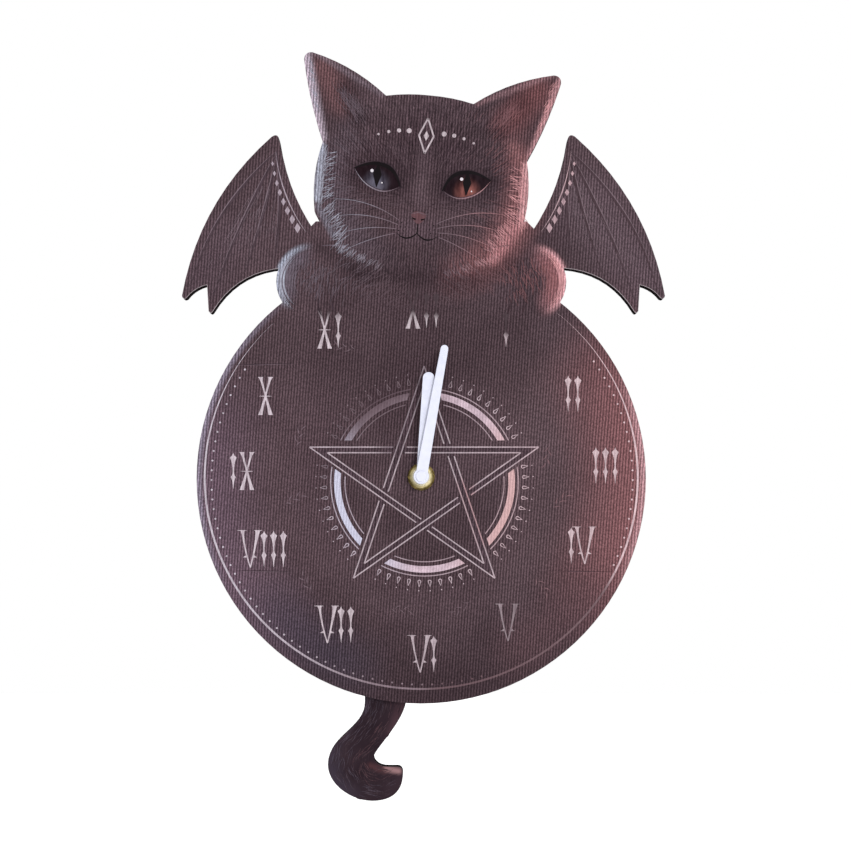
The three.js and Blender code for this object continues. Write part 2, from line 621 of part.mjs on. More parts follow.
function movementCase() {
  const half = CASE_W / 2;
  const depth = CASE_BACK - FRONT_IN;
  const outline = roundedRectangle(-half, half, CASE_BOTTOM, CASE_TOP, CORNER_R);
  const block = slab(outline, CASE_BACK, CASE_BACK - CASE_FRONT, CORNER_STEPS);
  const inner = CORNER_R - WALL;
  const over = WALL;
  const chamber = (bottom, top) => {
    const room = roundedRectangle(-INNER_X, INNER_X, bottom, top, inner);
    return slab(room, CASE_BACK + over, depth + over, CORNER_STEPS);
  };
  const passage = (side) => {
    const ends = [side * (CONTACT_X - CELL_PLAY), side * INNER_X];
    const front = CELL_Y - CONTACT_W / 2 - PLAY / 2;
    const [left, right] = ends.sort((a, b) => a - b);
    return box(left, right, front, CASE_BACK + over, BAY_TOP - RIB, TRAIN_FLOOR + RIB);
  };
  const slotFront = ARM_BACK - ARM_T - PLAY / 2;
  const shell = cut(
    block,
    chamber(TRAIN_FLOOR, TRAIN_TOP),
    chamber(BAY_BOTTOM, BAY_TOP),
    chamber(CASE_BOTTOM + WALL, SWING_TOP),
    passage(1),
    passage(-1),
    rod(BUSH_R + SLIP, CASE_FRONT - over, FRONT_IN + over),
    box(-SLOT_HALF, SLOT_HALF, slotFront, CASE_BACK + over, CASE_BOTTOM - WALL, CASE_BOTTOM + 2 * WALL),
  );
  const statorFront = STATOR_BACK - STATOR_T;
  const statorPostZ = ROTOR_AXIS.z - STATOR_HALF_H + POST_INSET;
  return part("movement_case", cut(
    join(
      shell,
      ...FRONT_BEARINGS.map(([axis, radius]) => boss(axis, radius, FRONT_IN - WALL / 2, BOSS_H + WALL / 2)),
      post(ROTOR_AXIS.x - STATOR_HALF_W + POST_INSET, statorPostZ, statorFront),
      post(COIL_RIGHT + STATOR_ARM_W / 2, statorPostZ, statorFront),
      post(CIRCUIT_X, CIRCUIT_BOTTOM + POST_INSET, CIRCUIT_FRONT),
      post(CIRCUIT_X, CIRCUIT_TOP - POST_INSET, CIRCUIT_FRONT),
    ),
    ...FRONT_BEARINGS.map(([axis, radius]) => pocket(axis, radius, FRONT_IN, BOSS_H)),
  ), caseBlack);
}

function backCover() {
  const half = CASE_W / 2;
  const plate = roundedRectangle(-half, half, CASE_BOTTOM, CASE_TOP, CORNER_R);
  plate.holes.push(rectangle(-INNER_X, INNER_X, BAY_BOTTOM, BAY_TOP));
  const bosses = COVER_BEARINGS.map(([axis, radius]) =>
    at(rod(radius + RUN + BOSS_WALL, COVER_IN - COVER_BOSS_H, COVER_IN + COVER_T / 2), axis));
  const pockets = COVER_BEARINGS.map(([axis, radius]) =>
    at(rod(radius + RUN, COVER_IN - 2 * COVER_BOSS_H, COVER_IN - SEAT / 2), axis));
  const knobHole = at(rod(KNOB_R + KNOB_PLAY, COVER_IN - COVER_T, COVER_T), MOTION_AXIS);
  const stock = join(slab(plate, 0, COVER_T, CORNER_STEPS), ...bosses);
  return part("back_cover", cut(stock, knobHole, ...pockets), caseBlack);
}

// Gear train

// A gear's outline with one tooth centred at the angle start.
function gearOutline(teeth, module, start) {
  const pitch = (2 * Math.PI) / teeth;
  const tip = tipRadius(teeth, module);
  const root = module * (teeth / 2 - DEDENDUM);
  const corners = [[-TOOTH_ROOT, root], [-TOOTH_TIP, tip], [TOOTH_TIP, tip], [TOOTH_ROOT, root]];
  const points = [];
  for (let tooth = 0; tooth < teeth; tooth += 1) {
    for (const [share, radius] of corners) {
      const angle = start + (tooth + share) * pitch;
      points.push(new THREE.Vector2(radius * Math.cos(angle), radius * Math.sin(angle)));
    }
  }
  return new THREE.Shape(points);
}

// The driving gear of a pair has a tooth on the line of centres, and the driven one a gap.
const driver = (teeth, module, bearing) => gearOutline(teeth, module, degToRad(bearing));
const driven = (teeth, module, bearing) =>
  gearOutline(teeth, module, degToRad(bearing) + Math.PI + Math.PI / teeth);
const gear = (outline, plane, thickness) => slab(outline, plane + thickness / 2, thickness);
const arborFront = FRONT_IN + END_PLAY;
const arborBack = COVER_IN - END_PLAY;

function train() {
  const group = new THREE.Group();
  const cannon = gear(driver(CANNON_TEETH, MOTION_MODULE, MOTION_BEARING), level(1), PINION_T);
  const shaft = rod(MINUTE_SHAFT_R, MINUTE_HAND_BACK - HUB_BORE_DEPTH + SEAT, arborBack);
  group.add(part("minute_arbor", join(shaft, cannon), steel));
  const minute = driver(MINUTE_TEETH, MINUTE_MODULE, THIRD_BEARING);
  minute.holes.push(circle(MINUTE_SHAFT_R + SEAT));
  group.add(part("minute_wheel", gear(minute, level(2), WHEEL_T), gearWhite));

  const hourTube = tube(HOUR_TUBE_R, MINUTE_SHAFT_R + RUN, HOUR_TUBE_FRONT, level(0) + WHEEL_T / 2);
  const hour = driven(HOUR_TEETH, MOTION_MODULE, MOTION_BEARING + 180);
  hour.holes.push(circle((HOUR_TUBE_R + MINUTE_SHAFT_R) / 2));
  group.add(part("hour_wheel", join(hourTube, gear(hour, level(0), WHEEL_T)), gearWhite));

  const motion = gear(driven(MOTION_TEETH, MOTION_MODULE, MOTION_BEARING), level(1), WHEEL_T);
  const pinionShape = driver(MOTION_PINION_TEETH, MOTION_MODULE, MOTION_BEARING + 180);
  const motionPinion = gear(pinionShape, level(0), PINION_T);
  const motionArbor = rod(MOTION_ARBOR_R, arborFront, -KNOB_RECESS - SEAT);
  const motionWheel = join(motion, motionPinion, motionArbor);
  group.add(part("motion_wheel", motionWheel, gearWhite, MOTION_AXIS.x, 0, MOTION_AXIS.z));
  const grip = tube(KNOB_R, MOTION_ARBOR_R + SEAT, -KNOB_RECESS - KNOB_T, -KNOB_RECESS);
  group.add(part("set_knob", grip, caseBlack, MOTION_AXIS.x, 0, MOTION_AXIS.z));

  const arbor = rod(ARBOR_R, arborFront, arborBack);
  const pair = (pinion, pinionPlane, wheel, wheelPlane) =>
    join(arbor, gear(pinion, pinionPlane, PINION_T), gear(wheel, wheelPlane, WHEEL_T));
  group.add(part("third_wheel", pair(
    driven(THIRD_PINION_TEETH, MINUTE_MODULE, THIRD_BEARING), level(2),
    driver(THIRD_TEETH, THIRD_MODULE, SECOND_BEARING), level(3),
  ), gearWhite, THIRD_AXIS.x, 0, THIRD_AXIS.z));
  group.add(part("second_wheel", pair(
    driven(SECOND_PINION_TEETH, THIRD_MODULE, SECOND_BEARING), level(3),
    driver(SECOND_TEETH, SECOND_MODULE, INTERMEDIATE_BEARING), level(4),
  ), gearWhite, SECOND_AXIS.x, 0, SECOND_AXIS.z));
  group.add(part("intermediate_wheel", pair(
    driven(INTERMEDIATE_PINION_TEETH, SECOND_MODULE, INTERMEDIATE_BEARING), level(4),
    driver(INTERMEDIATE_TEETH, ROTOR_MODULE, ROTOR_BEARING), level(5),
  ), gearWhite, INTERMEDIATE_AXIS.x, 0, INTERMEDIATE_AXIS.z));
  const rotorPinion = gear(driven(ROTOR_PINION_TEETH, ROTOR_MODULE, ROTOR_BEARING), level(5), PINION_T);
  group.add(part("rotor_arbor", join(arbor, rotorPinion), gearWhite, ROTOR_AXIS.x, 0, ROTOR_AXIS.z));
  const magnetBack = STATOR_BACK - STATOR_T / 2 + MAGNET_T / 2;
  const magnet = tube(MAGNET_R, ARBOR_R + SEAT, magnetBack - MAGNET_T, magnetBack);
  group.add(part("rotor_magnet", magnet, magnetGrey, ROTOR_AXIS.x, 0, ROTOR_AXIS.z));
  return group;
}

// Stepping motor: stator plate round the rotor, closed through the core of the coil

function motor() {
  const group = new THREE.Group();
  const left = ROTOR_AXIS.x - STATOR_HALF_W;
  const bottom = ROTOR_AXIS.z - STATOR_HALF_H;
  const right = COIL_RIGHT + STATOR_ARM_W;
  const plate = new THREE.Shape();
  plate.moveTo(left, bottom);
  plate.lineTo(right, bottom);
  plate.lineTo(right, COIL_Z + CORE_W / 2);
  plate.lineTo(COIL_RIGHT + SEAT, COIL_Z + CORE_W / 2);
  plate.lineTo(COIL_RIGHT + SEAT, bottom + STATOR_ARM_W);
  plate.lineTo(ROTOR_AXIS.x + STATOR_HALF_W, bottom + STATOR_ARM_W);
  plate.lineTo(ROTOR_AXIS.x + STATOR_HALF_W, COIL_Z + CORE_W / 2);
  plate.lineTo(left, COIL_Z + CORE_W / 2);
  plate.holes.push(circle(MAGNET_R + STATOR_AIR, ROTOR_AXIS.x, ROTOR_AXIS.z));
  group.add(part("stator_plate", slab(plate, STATOR_BACK, STATOR_T), steel));

  const coreLeft = ROTOR_AXIS.x + MAGNET_R + STATOR_AIR;
  const coreFront = CORE_BACK - STATOR_T;
  const core = box(coreLeft, right, coreFront, CORE_BACK, COIL_Z - CORE_W / 2, COIL_Z + CORE_W / 2);
  group.add(part("coil_core", core, steel));
  const spool = revolve([
    [COIL_BORE_R, COIL_LEFT], [COIL_FLANGE_R, COIL_LEFT], [COIL_FLANGE_R, COIL_LEFT + COIL_FLANGE_T],
    [COIL_HUB_R, COIL_LEFT + COIL_FLANGE_T], [COIL_HUB_R, COIL_RIGHT - COIL_FLANGE_T],
    [COIL_FLANGE_R, COIL_RIGHT - COIL_FLANGE_T], [COIL_FLANGE_R, COIL_RIGHT], [COIL_BORE_R, COIL_RIGHT],
    [COIL_BORE_R, COIL_LEFT],
  ]);
  const winding = tube(
    COIL_WIRE_R, COIL_HUB_R + SEAT, COIL_LEFT + COIL_FLANGE_T + SEAT, COIL_RIGHT - COIL_FLANGE_T - SEAT,
  );
  group.add(part("coil_bobbin", spool.rotateZ(-Math.PI / 2), gearWhite, 0, COIL_Y, COIL_Z));
  group.add(part("coil_winding", winding.rotateZ(-Math.PI / 2), copper, 0, COIL_Y, COIL_Z));
  return group;
}

// Circuit board with its chip and crystal, the cell and its contacts

function supply() {
  const group = new THREE.Group();
  const plate = box(CIRCUIT_LEFT, CIRCUIT_RIGHT, CIRCUIT_FRONT, CIRCUIT_BACK, CIRCUIT_BOTTOM, CIRCUIT_TOP);
  group.add(part("circuit_board", plate, circuitGreen));
  const chipTop = CIRCUIT_FRONT - SEAT;
  const chip = revolve([
    [0, chipTop - CHIP_T], [CHIP_CROWN_R, chipTop - CHIP_CROWN_T], [CHIP_R, chipTop], [0, chipTop],
  ]);
  group.add(part("clock_chip", chip, rubber, CIRCUIT_X, 0, (CIRCUIT_BOTTOM + CIRCUIT_TOP) / 2 - CHIP_R));
  const can = new THREE.CylinderGeometry(CRYSTAL_R, CRYSTAL_R, CRYSTAL_L, SMALL_SIDES).rotateX(Math.PI / 2);
  const canZ = (CIRCUIT_BOTTOM + CIRCUIT_TOP) / 2 + CRYSTAL_L / 2 + SEAT;
  group.add(part("quartz_crystal", can, steel, CIRCUIT_X, CIRCUIT_FRONT - SEAT - CRYSTAL_R, canZ));

  const shoulder = CELL_L / 2 - BUTTON_L;
  const cell = revolve([
    [0, -CELL_L / 2], [CELL_R, -CELL_L / 2], [CELL_R, shoulder], [BUTTON_R, shoulder], [BUTTON_R, CELL_L / 2],
    [0, CELL_L / 2],
  ]);
  group.add(part("battery_cell", cell.rotateZ(-Math.PI / 2), cellShell, 0, CELL_Y, CELL_Z));

  const front = CELL_Y - CONTACT_W / 2;
  const back = CELL_Y + CONTACT_W / 2;
  const low = CELL_Z - CONTACT_H / 2;
  const outer = CONTACT_X + CONTACT_T;
  const positive = box(CONTACT_X, outer, front, back, low, CIRCUIT_BOTTOM + CONTACT_H / 2);
  group.add(part("positive_contact", positive, steel));
  const stripTop = TRAIN_FLOOR + SEAT + CONTACT_T;
  const negative = join(
    box(-outer, -CONTACT_X, front, back, low, stripTop),
    box(-outer, CIRCUIT_X, CIRCUIT_FRONT, back, TRAIN_FLOOR + SEAT, stripTop),
  );
  group.add(part("negative_contact", negative, steel));
  return group;
}

// Pendulum drive in the case: coil on the front wall, pin across the chamber

function pendulumDrive() {
  const group = new THREE.Group();
  group.position.set(0, 0, PIVOT_Z);
  group.add(part("pivot_pin", rod(PIVOT_R, arborFront, arborBack), steel));
  const front = FRONT_IN + SEAT;
  const back = front + DRIVE_T;
  const spool = revolve([
    [0, front], [DRIVE_R, front], [DRIVE_R, front + DRIVE_FLANGE_T], [DRIVE_HUB_R, front + DRIVE_FLANGE_T],
    [DRIVE_HUB_R, back], [0, back],
  ]);
  const winding = tube(DRIVE_WIRE_R, DRIVE_HUB_R + SEAT, front + DRIVE_FLANGE_T + SEAT, back);
  group.add(part("drive_bobbin", spool, gearWhite, 0, 0, -DRIVE_DROP));
  group.add(part("drive_winding", winding, copper, 0, 0, -DRIVE_DROP));
  return group;
}

// Pendulum: arm and magnet, strip and rivets, tail board and film, balance weight

function tailOutline() {
  const shape = new THREE.Shape();
  const low = (z) => DIAL_BOTTOM + z;
  const neck = [0, -TAIL_NECK_REACH];
  const inner = [-TAIL_INNER_LEAN, -TAIL_INNER_REACH];
  const hook = [0, -TAIL_HOOK_REACH];
  const curl = [0, -TAIL_CURL_REACH];
  const base = [-TAIL_BASE_REACH, 0];
  const outer = [0, TAIL_OUTER_REACH];
  shape.moveTo(-ROOT_R, ROOT_Z);
  shape.lineTo(ROOT_R, ROOT_Z);
  turnTo(shape, TAIL_RIGHT_X, low(0), neck, [-TAIL_INNER_LEAN, -TAIL_NECK_REACH]);
  turnTo(shape, TAIL_HOOK_X, low(TAIL_HOOK_Z), inner, hook);
  turnTo(shape, TAIL_END_X, low(TAIL_END_Z), hook, [TAIL_HOOK_REACH, 0]);
  shape.lineTo(TAIL_CURL_X - TAIL_END_ROUND, low(TAIL_END_Z));
  turnTo(shape, TAIL_CURL_X, low(TAIL_CURL_Z), [TAIL_END_REACH, 0], [0, -TAIL_END_REACH]);
  turnTo(shape, TAIL_BASE_X, low(TAIL_BASE_Z), curl, base);
  turnTo(shape, TAIL_BELLY_X, low(TAIL_BELLY_Z), base, [0, TAIL_BASE_REACH]);
  turnTo(shape, TAIL_LEFT_X, low(0), outer, outer);
  shape.lineTo(TAIL_LEFT_X, low(TAIL_LEFT_RISE));
  turnTo(shape, -ROOT_R, ROOT_Z, [0, TAIL_INNER_LEAN], [0, TAIL_NECK_REACH]);
  return shape;
}

const RIVETS = [["upper", ROOT_Z + RIVET_PITCH / 2], ["lower", ROOT_Z - RIVET_PITCH / 2]];

function tailPlate(back, thickness) {
  const root = capsule({ x: 0, z: ROOT_Z }, { x: WEIGHT_X, z: ROOT_Z }, ROOT_R);
  return join(slab(tailOutline(), back, thickness), slab(root, back, thickness));
}

function pendulum() {
  const group = new THREE.Group();
  const hole = (z) => at(rod(RIVET_R + SEAT, TAIL_BACK - 2 * BOARD_T, STRIP_BACK), { x: 0, z });
  const holes = RIVETS.map(([, z]) => hole(z));
  group.add(part("tail_board", cut(tailPlate(TAIL_BACK, BOARD_T), ...holes), boardBlack));
  group.add(part("tail_film", tailPlate(TAIL_FILM_BACK, FILM_T), filmPlum));
  const stripEnd = { x: 0, z: ROOT_Z - RIVET_PITCH / 2 };
  const strip = capsule({ x: 0, z: PEG_Z + STRIP_TOP - STRIP_W / 2 }, stripEnd, STRIP_W / 2);
  strip.holes.push(circle(PEG_R + SEAT, 0, PEG_Z));
  RIVETS.forEach(([, z]) => strip.holes.push(circle(RIVET_R + SEAT, 0, z)));
  group.add(part("hanging_strip", slab(strip, STRIP_BACK, STRIP_T, SMALL_SIDES / 2), steel));
  const headFront = STRIP_BACK + SEAT;
  const rivet = revolve([
    [0, TAIL_BACK - BOARD_T + SEAT], [RIVET_R, TAIL_BACK - BOARD_T + SEAT], [RIVET_R, headFront],
    [RIVET_HEAD_R, headFront], [RIVET_HEAD_R, headFront + RIVET_HEAD_T], [0, headFront + RIVET_HEAD_T],
  ]);
  RIVETS.forEach(([name, z]) => group.add(part(`strip_rivet_${name}`, rivet, steel, 0, 0, z)));
  const weight = rod(WEIGHT_R, TAIL_BACK + SEAT, TAIL_BACK + SEAT + WEIGHT_T);
  group.add(part("balance_weight", weight, steel, WEIGHT_X, 0, ROOT_Z));

  const armFront = ARM_BACK - ARM_T;
  const hub = circle(ARM_HUB_R, 0, PIVOT_Z);
  const blade = capsule({ x: 0, z: PIVOT_Z }, { x: 0, z: PEG_Z }, ARM_W / 2);
  const pan = circle(ARM_MAGNET_R + ARM_PAN_WALL, 0, DRIVE_Z);
  const arm = cut(
    join(
      slab(hub, ARM_BACK, ARM_T),
      slab(blade, ARM_BACK, ARM_T),
      slab(pan, ARM_BACK, ARM_T),
      at(rod(PEG_R, armFront - SEAT - STRIP_T - PEG_PROUD, ARM_BACK - ARM_T / 2), { x: 0, z: PEG_Z }),
    ),
    at(rod(PIVOT_R + RUN, armFront - ARM_T, ARM_BACK + ARM_T), { x: 0, z: PIVOT_Z }),
    at(rod(ARM_MAGNET_R + SEAT, armFront - ARM_T, ARM_BACK + ARM_T), { x: 0, z: DRIVE_Z }),
  );
  group.add(part("pendulum_arm", arm, gearWhite));
  const magnetBack = ARM_BACK - ARM_T / 2 + ARM_MAGNET_T / 2;
  const magnet = rod(ARM_MAGNET_R, magnetBack - ARM_MAGNET_T, magnetBack);
  group.add(part("pendulum_magnet", magnet, magnetGrey, 0, 0, DRIVE_Z));
  return group;
}

// Wall hanger: clamped on the bush, over the top of the case and up to a keyhole against the wall

function wallHanger() {
  const half = HANGER_W / 2;
  const front = HANGER_BACK - HANGER_T;
  const shelf = CASE_TOP + SEAT;
  const top = shelf + HANGER_H;
  const keyhole = { x: 0, z: top - NAIL_DROP };
  const slot = capsule(keyhole, { x: 0, z: top - NAIL_DROP + NAIL_LIFT }, NAIL_SHANK_R);
  return part("wall_hanger", cut(
    join(
      box(-half, half, front, HANGER_BACK, -HANGER_FOOT, shelf + HANGER_T),
      box(-half, half, front, 0, shelf, shelf + HANGER_T),
      box(-half, half, -HANGER_T, 0, shelf, top),
    ),
    rod(BUSH_R + SLIP, front - HANGER_T, HANGER_BACK + HANGER_T / 2),
    at(rod(NAIL_HEAD_R, -2 * HANGER_T, HANGER_T), keyhole),
    slab(slot, HANGER_T, 3 * HANGER_T),
  ), steel);
}

const clock = new THREE.Group();
clock.add(
  catBoard(), hands(), clamping(), movementCase(), backCover(), train(), motor(), supply(), pendulumDrive(),
  pendulum(), wallHanger(),
);

export default clock;
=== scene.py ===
# %% [markdown]
# # A cat wall clock, dressed in Blender
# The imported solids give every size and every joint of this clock. This script dresses them. The real
# thing is a flat black-edged board with a ribbed, printed film on it, two white hands, a tail that swings
# below, and a battery movement on the back. Most of what you see is print, so most of the work is here in
# thin inked shapes and in colour made by shader nodes. No picture file is used.

# %% Load the frame
import math
import random

import bmesh
import bpy
from mathutils import Matrix, Vector
from mathutils.bvhtree import BVHTree


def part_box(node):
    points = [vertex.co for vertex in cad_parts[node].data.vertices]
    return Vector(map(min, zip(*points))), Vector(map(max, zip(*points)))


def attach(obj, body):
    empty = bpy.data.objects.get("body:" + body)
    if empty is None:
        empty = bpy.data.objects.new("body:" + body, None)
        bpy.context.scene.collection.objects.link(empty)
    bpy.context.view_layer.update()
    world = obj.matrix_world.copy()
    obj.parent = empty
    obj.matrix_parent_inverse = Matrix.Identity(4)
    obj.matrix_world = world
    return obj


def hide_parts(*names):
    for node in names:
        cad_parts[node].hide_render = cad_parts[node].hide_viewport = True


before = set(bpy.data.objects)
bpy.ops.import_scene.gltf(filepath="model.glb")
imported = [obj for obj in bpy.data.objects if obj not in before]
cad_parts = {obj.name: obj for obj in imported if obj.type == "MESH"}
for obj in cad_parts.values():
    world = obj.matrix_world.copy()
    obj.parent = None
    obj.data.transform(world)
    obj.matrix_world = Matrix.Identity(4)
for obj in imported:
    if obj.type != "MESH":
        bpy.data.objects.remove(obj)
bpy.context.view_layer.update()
MM = 0.001
BODY = "clock_body"
SIDES = (-1, 1)

# %% [markdown]
# ## Camera, floor and light
# The clock is seen straight on from about sixty centimetres, with the lens a little below the middle of
# the dial. The frame is moved up by lens shift, as a studio camera does it, so that upright lines stay
# upright. The camera comes first.

# %% Camera
FILM_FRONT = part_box("face_film")[0].y
CAMERA_AWAY = 0.62
CAMERA_Z = -0.0219
scene = bpy.context.scene
lens = bpy.data.cameras.new("camera")
lens.sensor_width = 36
lens.lens = 57.6
lens.shift_x = 0.005
lens.shift_y = 0.117
camera = bpy.data.objects.new("camera", lens)
camera.location = (0, FILM_FRONT - CAMERA_AWAY, CAMERA_Z)
camera.rotation_euler = (math.radians(90), 0, 0)
scene.collection.objects.link(camera)
scene.camera = camera
scene.view_settings.view_transform = "Standard"
print("camera at", [round(value, 3) for value in camera.location])

# %% [markdown]
# Two helpers carry the whole script. `Graph` adds shader nodes to one tree and lets a value be either a
# number or the output of another node. `tone` takes a colour as it looks on a screen and gives the linear
# light that Blender works in.

# %% Node helpers
class Graph:
    """Adds nodes to one node tree. A value may be a number, a colour, a vector or a node's output."""

    def __init__(self, tree):
        self.tree = tree

    def feed(self, socket, value):
        if isinstance(value, bpy.types.NodeSocket):
            self.tree.links.new(value, socket)
        else:
            socket.default_value = value

    def node(self, kind, inputs=None, **settings):
        made = self.tree.nodes.new(kind)
        for key, value in settings.items():
            setattr(made, key, value)
        for key, value in (inputs or {}).items():
            self.feed(made.inputs[key], value)
        return made

    def math(self, operation, first, second=0.0, clamp=False):
        inputs = {0: first, 1: second}
        made = self.node("ShaderNodeMath", inputs, operation=operation, use_clamp=clamp)
        return made.outputs[0]

    def vector(self, operation, first, second=(0, 0, 0), out=0):
        inputs = {0: first}
        if operation != "LENGTH":
            inputs[1] = second
        return self.node("ShaderNodeVectorMath", inputs, operation=operation).outputs[out]

    def mix(self, share, first, second):
        inputs = {0: share, 6: first, 7: second}
        return self.node("ShaderNodeMix", inputs, data_type="RGBA").outputs[2]

    def step(self, value, low, high, start=0.0, end=1.0):
        inputs = {"Value": value, "From Min": low, "From Max": high, "To Min": start, "To Max": end}
        made = self.node("ShaderNodeMapRange", inputs, interpolation_type="SMOOTHSTEP")
        return made.outputs["Result"]

    def group(self, group, **inputs):
        made = self.tree.nodes.new("ShaderNodeGroup")
        made.node_tree = group
        for key, value in inputs.items():
            self.feed(made.inputs[key.replace("_", " ")], value)
        return made.outputs[0]

    def place(self):
        return self.node("ShaderNodeTexCoord").outputs["Object"]

    def along(self, axis):
        return self.node("ShaderNodeSeparateXYZ", {0: self.place()}).outputs[axis]

    def wave(self, turns):
        """A wave from 0 to 1 that begins on a crest."""
        swing = self.math("COSINE", self.math("MULTIPLY", turns, 2 * math.pi))
        return self.math("ADD", self.math("MULTIPLY", swing, 0.5), 0.5)

    def scaled(self, vector, share):
        return self.node("ShaderNodeVectorMath", {0: vector, "Scale": share}, operation="SCALE").outputs[0]


def tone(red, green, blue):
    """A colour as it looks on a screen, 0 to 255, in linear light."""
    shares = (value / 255 for value in (red, green, blue))
    linear = [share / 12.92 if share < 0.04045 else ((share + 0.055) / 1.055) ** 2.4 for share in shares]
    return (*linear, 1.0)


SHEEN_LIGHT = 0.006
STUDIO_GAIN = 1.33


def print_tone(red, green, blue):
    """The ink that looks like a screen colour once the studio's light and the film's sheen are on it."""
    seen = tone(red, green, blue)[:3]
    return (*[max(0.002, (value - SHEEN_LIGHT) / STUDIO_GAIN) for value in seen], 1.0)


def new_group(name, inputs, output):
    """An empty node group with named inputs and one output, and the graph to fill it with."""
    tree = bpy.data.node_groups.new(name, "ShaderNodeTree")
    for label, kind, value in inputs:
        socket = tree.interface.new_socket(name=label, in_out="INPUT", socket_type="NodeSocket" + kind)
        socket.default_value = value
    tree.interface.new_socket(name=output, in_out="OUTPUT", socket_type="NodeSocketFloat")
    graph = Graph(tree)
    return tree, graph, graph.node("NodeGroupInput").outputs, graph.node("NodeGroupOutput").inputs[0]


print("node helpers ready")

# %% [markdown]
# The studio is a white surround, a lamp in front and a little to the right, one overhead for the floor and
# a weaker one behind. The surround is white to the camera but lights the clock less, so that the front
# lamp can still draw the narrow shadow beside the hands. The floor lies well below, because this clock
# hangs on a wall.

# %% Floor and light
FLOOR_Z = -0.6
FLOOR_SIZE = 8
SURROUND_LIGHT = 0.62
LAMPS = (
    ("key_lamp", 1.55, 13, (-0.4, 1.0, -0.22)),
    ("top_lamp", 1.4, 30, (0.0, 0.05, -1.0)),
    ("back_lamp", 1.3, 40, (0.45, -0.75, -0.5)),
)
for name, strength, softness, towards in LAMPS:
    lamp = bpy.data.lights.new(name, "SUN")
    lamp.energy = strength
    lamp.angle = math.radians(softness)
    made = bpy.data.objects.new(name, lamp)
    made.rotation_euler = Vector(towards).to_track_quat("-Z", "Y").to_euler()
    scene.collection.objects.link(made)

world = bpy.data.worlds.new("studio")
world.use_nodes = True
surround = Graph(world.node_tree)
seen = surround.node("ShaderNodeLightPath").outputs["Is Camera Ray"]
backdrop = world.node_tree.nodes["Background"]
backdrop.inputs["Color"].default_value = (1, 1, 1, 1)
surround.feed(backdrop.inputs["Strength"], surround.step(seen, 0, 1, SURROUND_LIGHT, 1.0))
scene.world = world

floor_mesh = bpy.data.meshes.new("floor")
floor_bm = bmesh.new()
bmesh.ops.create_grid(floor_bm, x_segments=2, y_segments=2, size=FLOOR_SIZE / 2)
bmesh.ops.translate(floor_bm, verts=floor_bm.verts, vec=(0, 0, FLOOR_Z))
floor_bm.to_mesh(floor_mesh)
floor_bm.free()
floor = bpy.data.objects.new("floor", floor_mesh)
scene.collection.objects.link(floor)
print("floor at", FLOOR_Z, "m")

# %% [markdown]
# ## Shared effects
# Each effect that several finishes use is a node group, built once. `fine_grain` is noise that can be
# stretched, for moulded plastic, brushed steel or fur. `film_ribs` are the fine, nearly upright lines of
# the film. `soft_stroke` and `soft_arc` paint with light: they glow near a straight line or near part of a
# circle, and fade with distance, as an airbrush does.

# %% Shared node groups
GRAIN_INPUTS = (("Scale", "Float", 400.0), ("Detail", "Float", 3.0), ("Stretch", "Vector", (1, 1, 1)))
fine_grain, g, given, put_out = new_group("fine_grain", GRAIN_INPUTS, "Value")
stretched = g.vector("MULTIPLY", g.place(), given["Stretch"])
grain_noise = {"Vector": stretched, "Scale": given["Scale"], "Detail": given["Detail"]}
g.feed(put_out, g.step(g.node("ShaderNodeTexNoise", grain_noise).outputs[0], 0.25, 0.75))

RIB_PITCH = 1.33 * MM
RIB_LEAN = math.radians(4.3)
ACROSS_RIBS = Vector((math.cos(RIB_LEAN), 0, -math.sin(RIB_LEAN)))
film_ribs, g, given, put_out = new_group("film_ribs", (("Wander", "Float", 0.1),), "Crest")
wander = g.math("MULTIPLY", g.group(fine_grain, Scale=110.0, Stretch=(1, 1, 0.5)), given["Wander"])
across = g.math("DIVIDE", g.vector("DOT_PRODUCT", g.place(), ACROSS_RIBS, "Value"), RIB_PITCH)
g.feed(put_out, g.wave(g.math("ADD", across, wander)))

STROKE_INPUTS = (("Start", "Vector", (0, 0, 0)), ("End", "Vector", (0, 0, 0)), ("Width", "Float", 0.005))
soft_stroke, g, given, put_out = new_group("soft_stroke", STROKE_INPUTS, "Glow")
flat = g.vector("MULTIPLY", g.place(), (1, 0, 1))
from_start = g.vector("SUBTRACT", flat, given["Start"])
whole = g.vector("SUBTRACT", given["End"], given["Start"])
reach = g.vector("DOT_PRODUCT", from_start, whole, "Value")
share = g.math("DIVIDE", reach, g.vector("DOT_PRODUCT", whole, whole, "Value"), clamp=True)
distance = g.vector("LENGTH", g.vector("SUBTRACT", from_start, g.scaled(whole, share)), out="Value")
g.feed(put_out, g.step(distance, 0.0, given["Width"], 1.0, 0.0))

ARC_INPUTS = (
    ("Centre", "Vector", (0, 0, 0)),
    ("Radius", "Float", 0.05),
    ("Width", "Float", 0.005),
    ("Towards", "Vector", (1, 0, 0)),
    ("Spread", "Float", 1.0),
)
soft_arc, g, given, put_out = new_group("soft_arc", ARC_INPUTS, "Glow")
flat = g.vector("MULTIPLY", g.place(), (1, 0, 1))
from_centre = g.vector("SUBTRACT", flat, given["Centre"])
distance = g.vector("LENGTH", from_centre, out="Value")
off = g.math("ABSOLUTE", g.math("SUBTRACT", distance, given["Radius"]))
ring = g.step(off, 0.0, given["Width"], 1.0, 0.0)
facing = g.vector("DOT_PRODUCT", g.vector("NORMALIZE", from_centre), given["Towards"], "Value")
low = g.math("SUBTRACT", 1.0, given["Spread"])
g.feed(put_out, g.math("MULTIPLY", ring, g.step(facing, low, 1.0)))
print("groups", [group.name for group in bpy.data.node_groups])

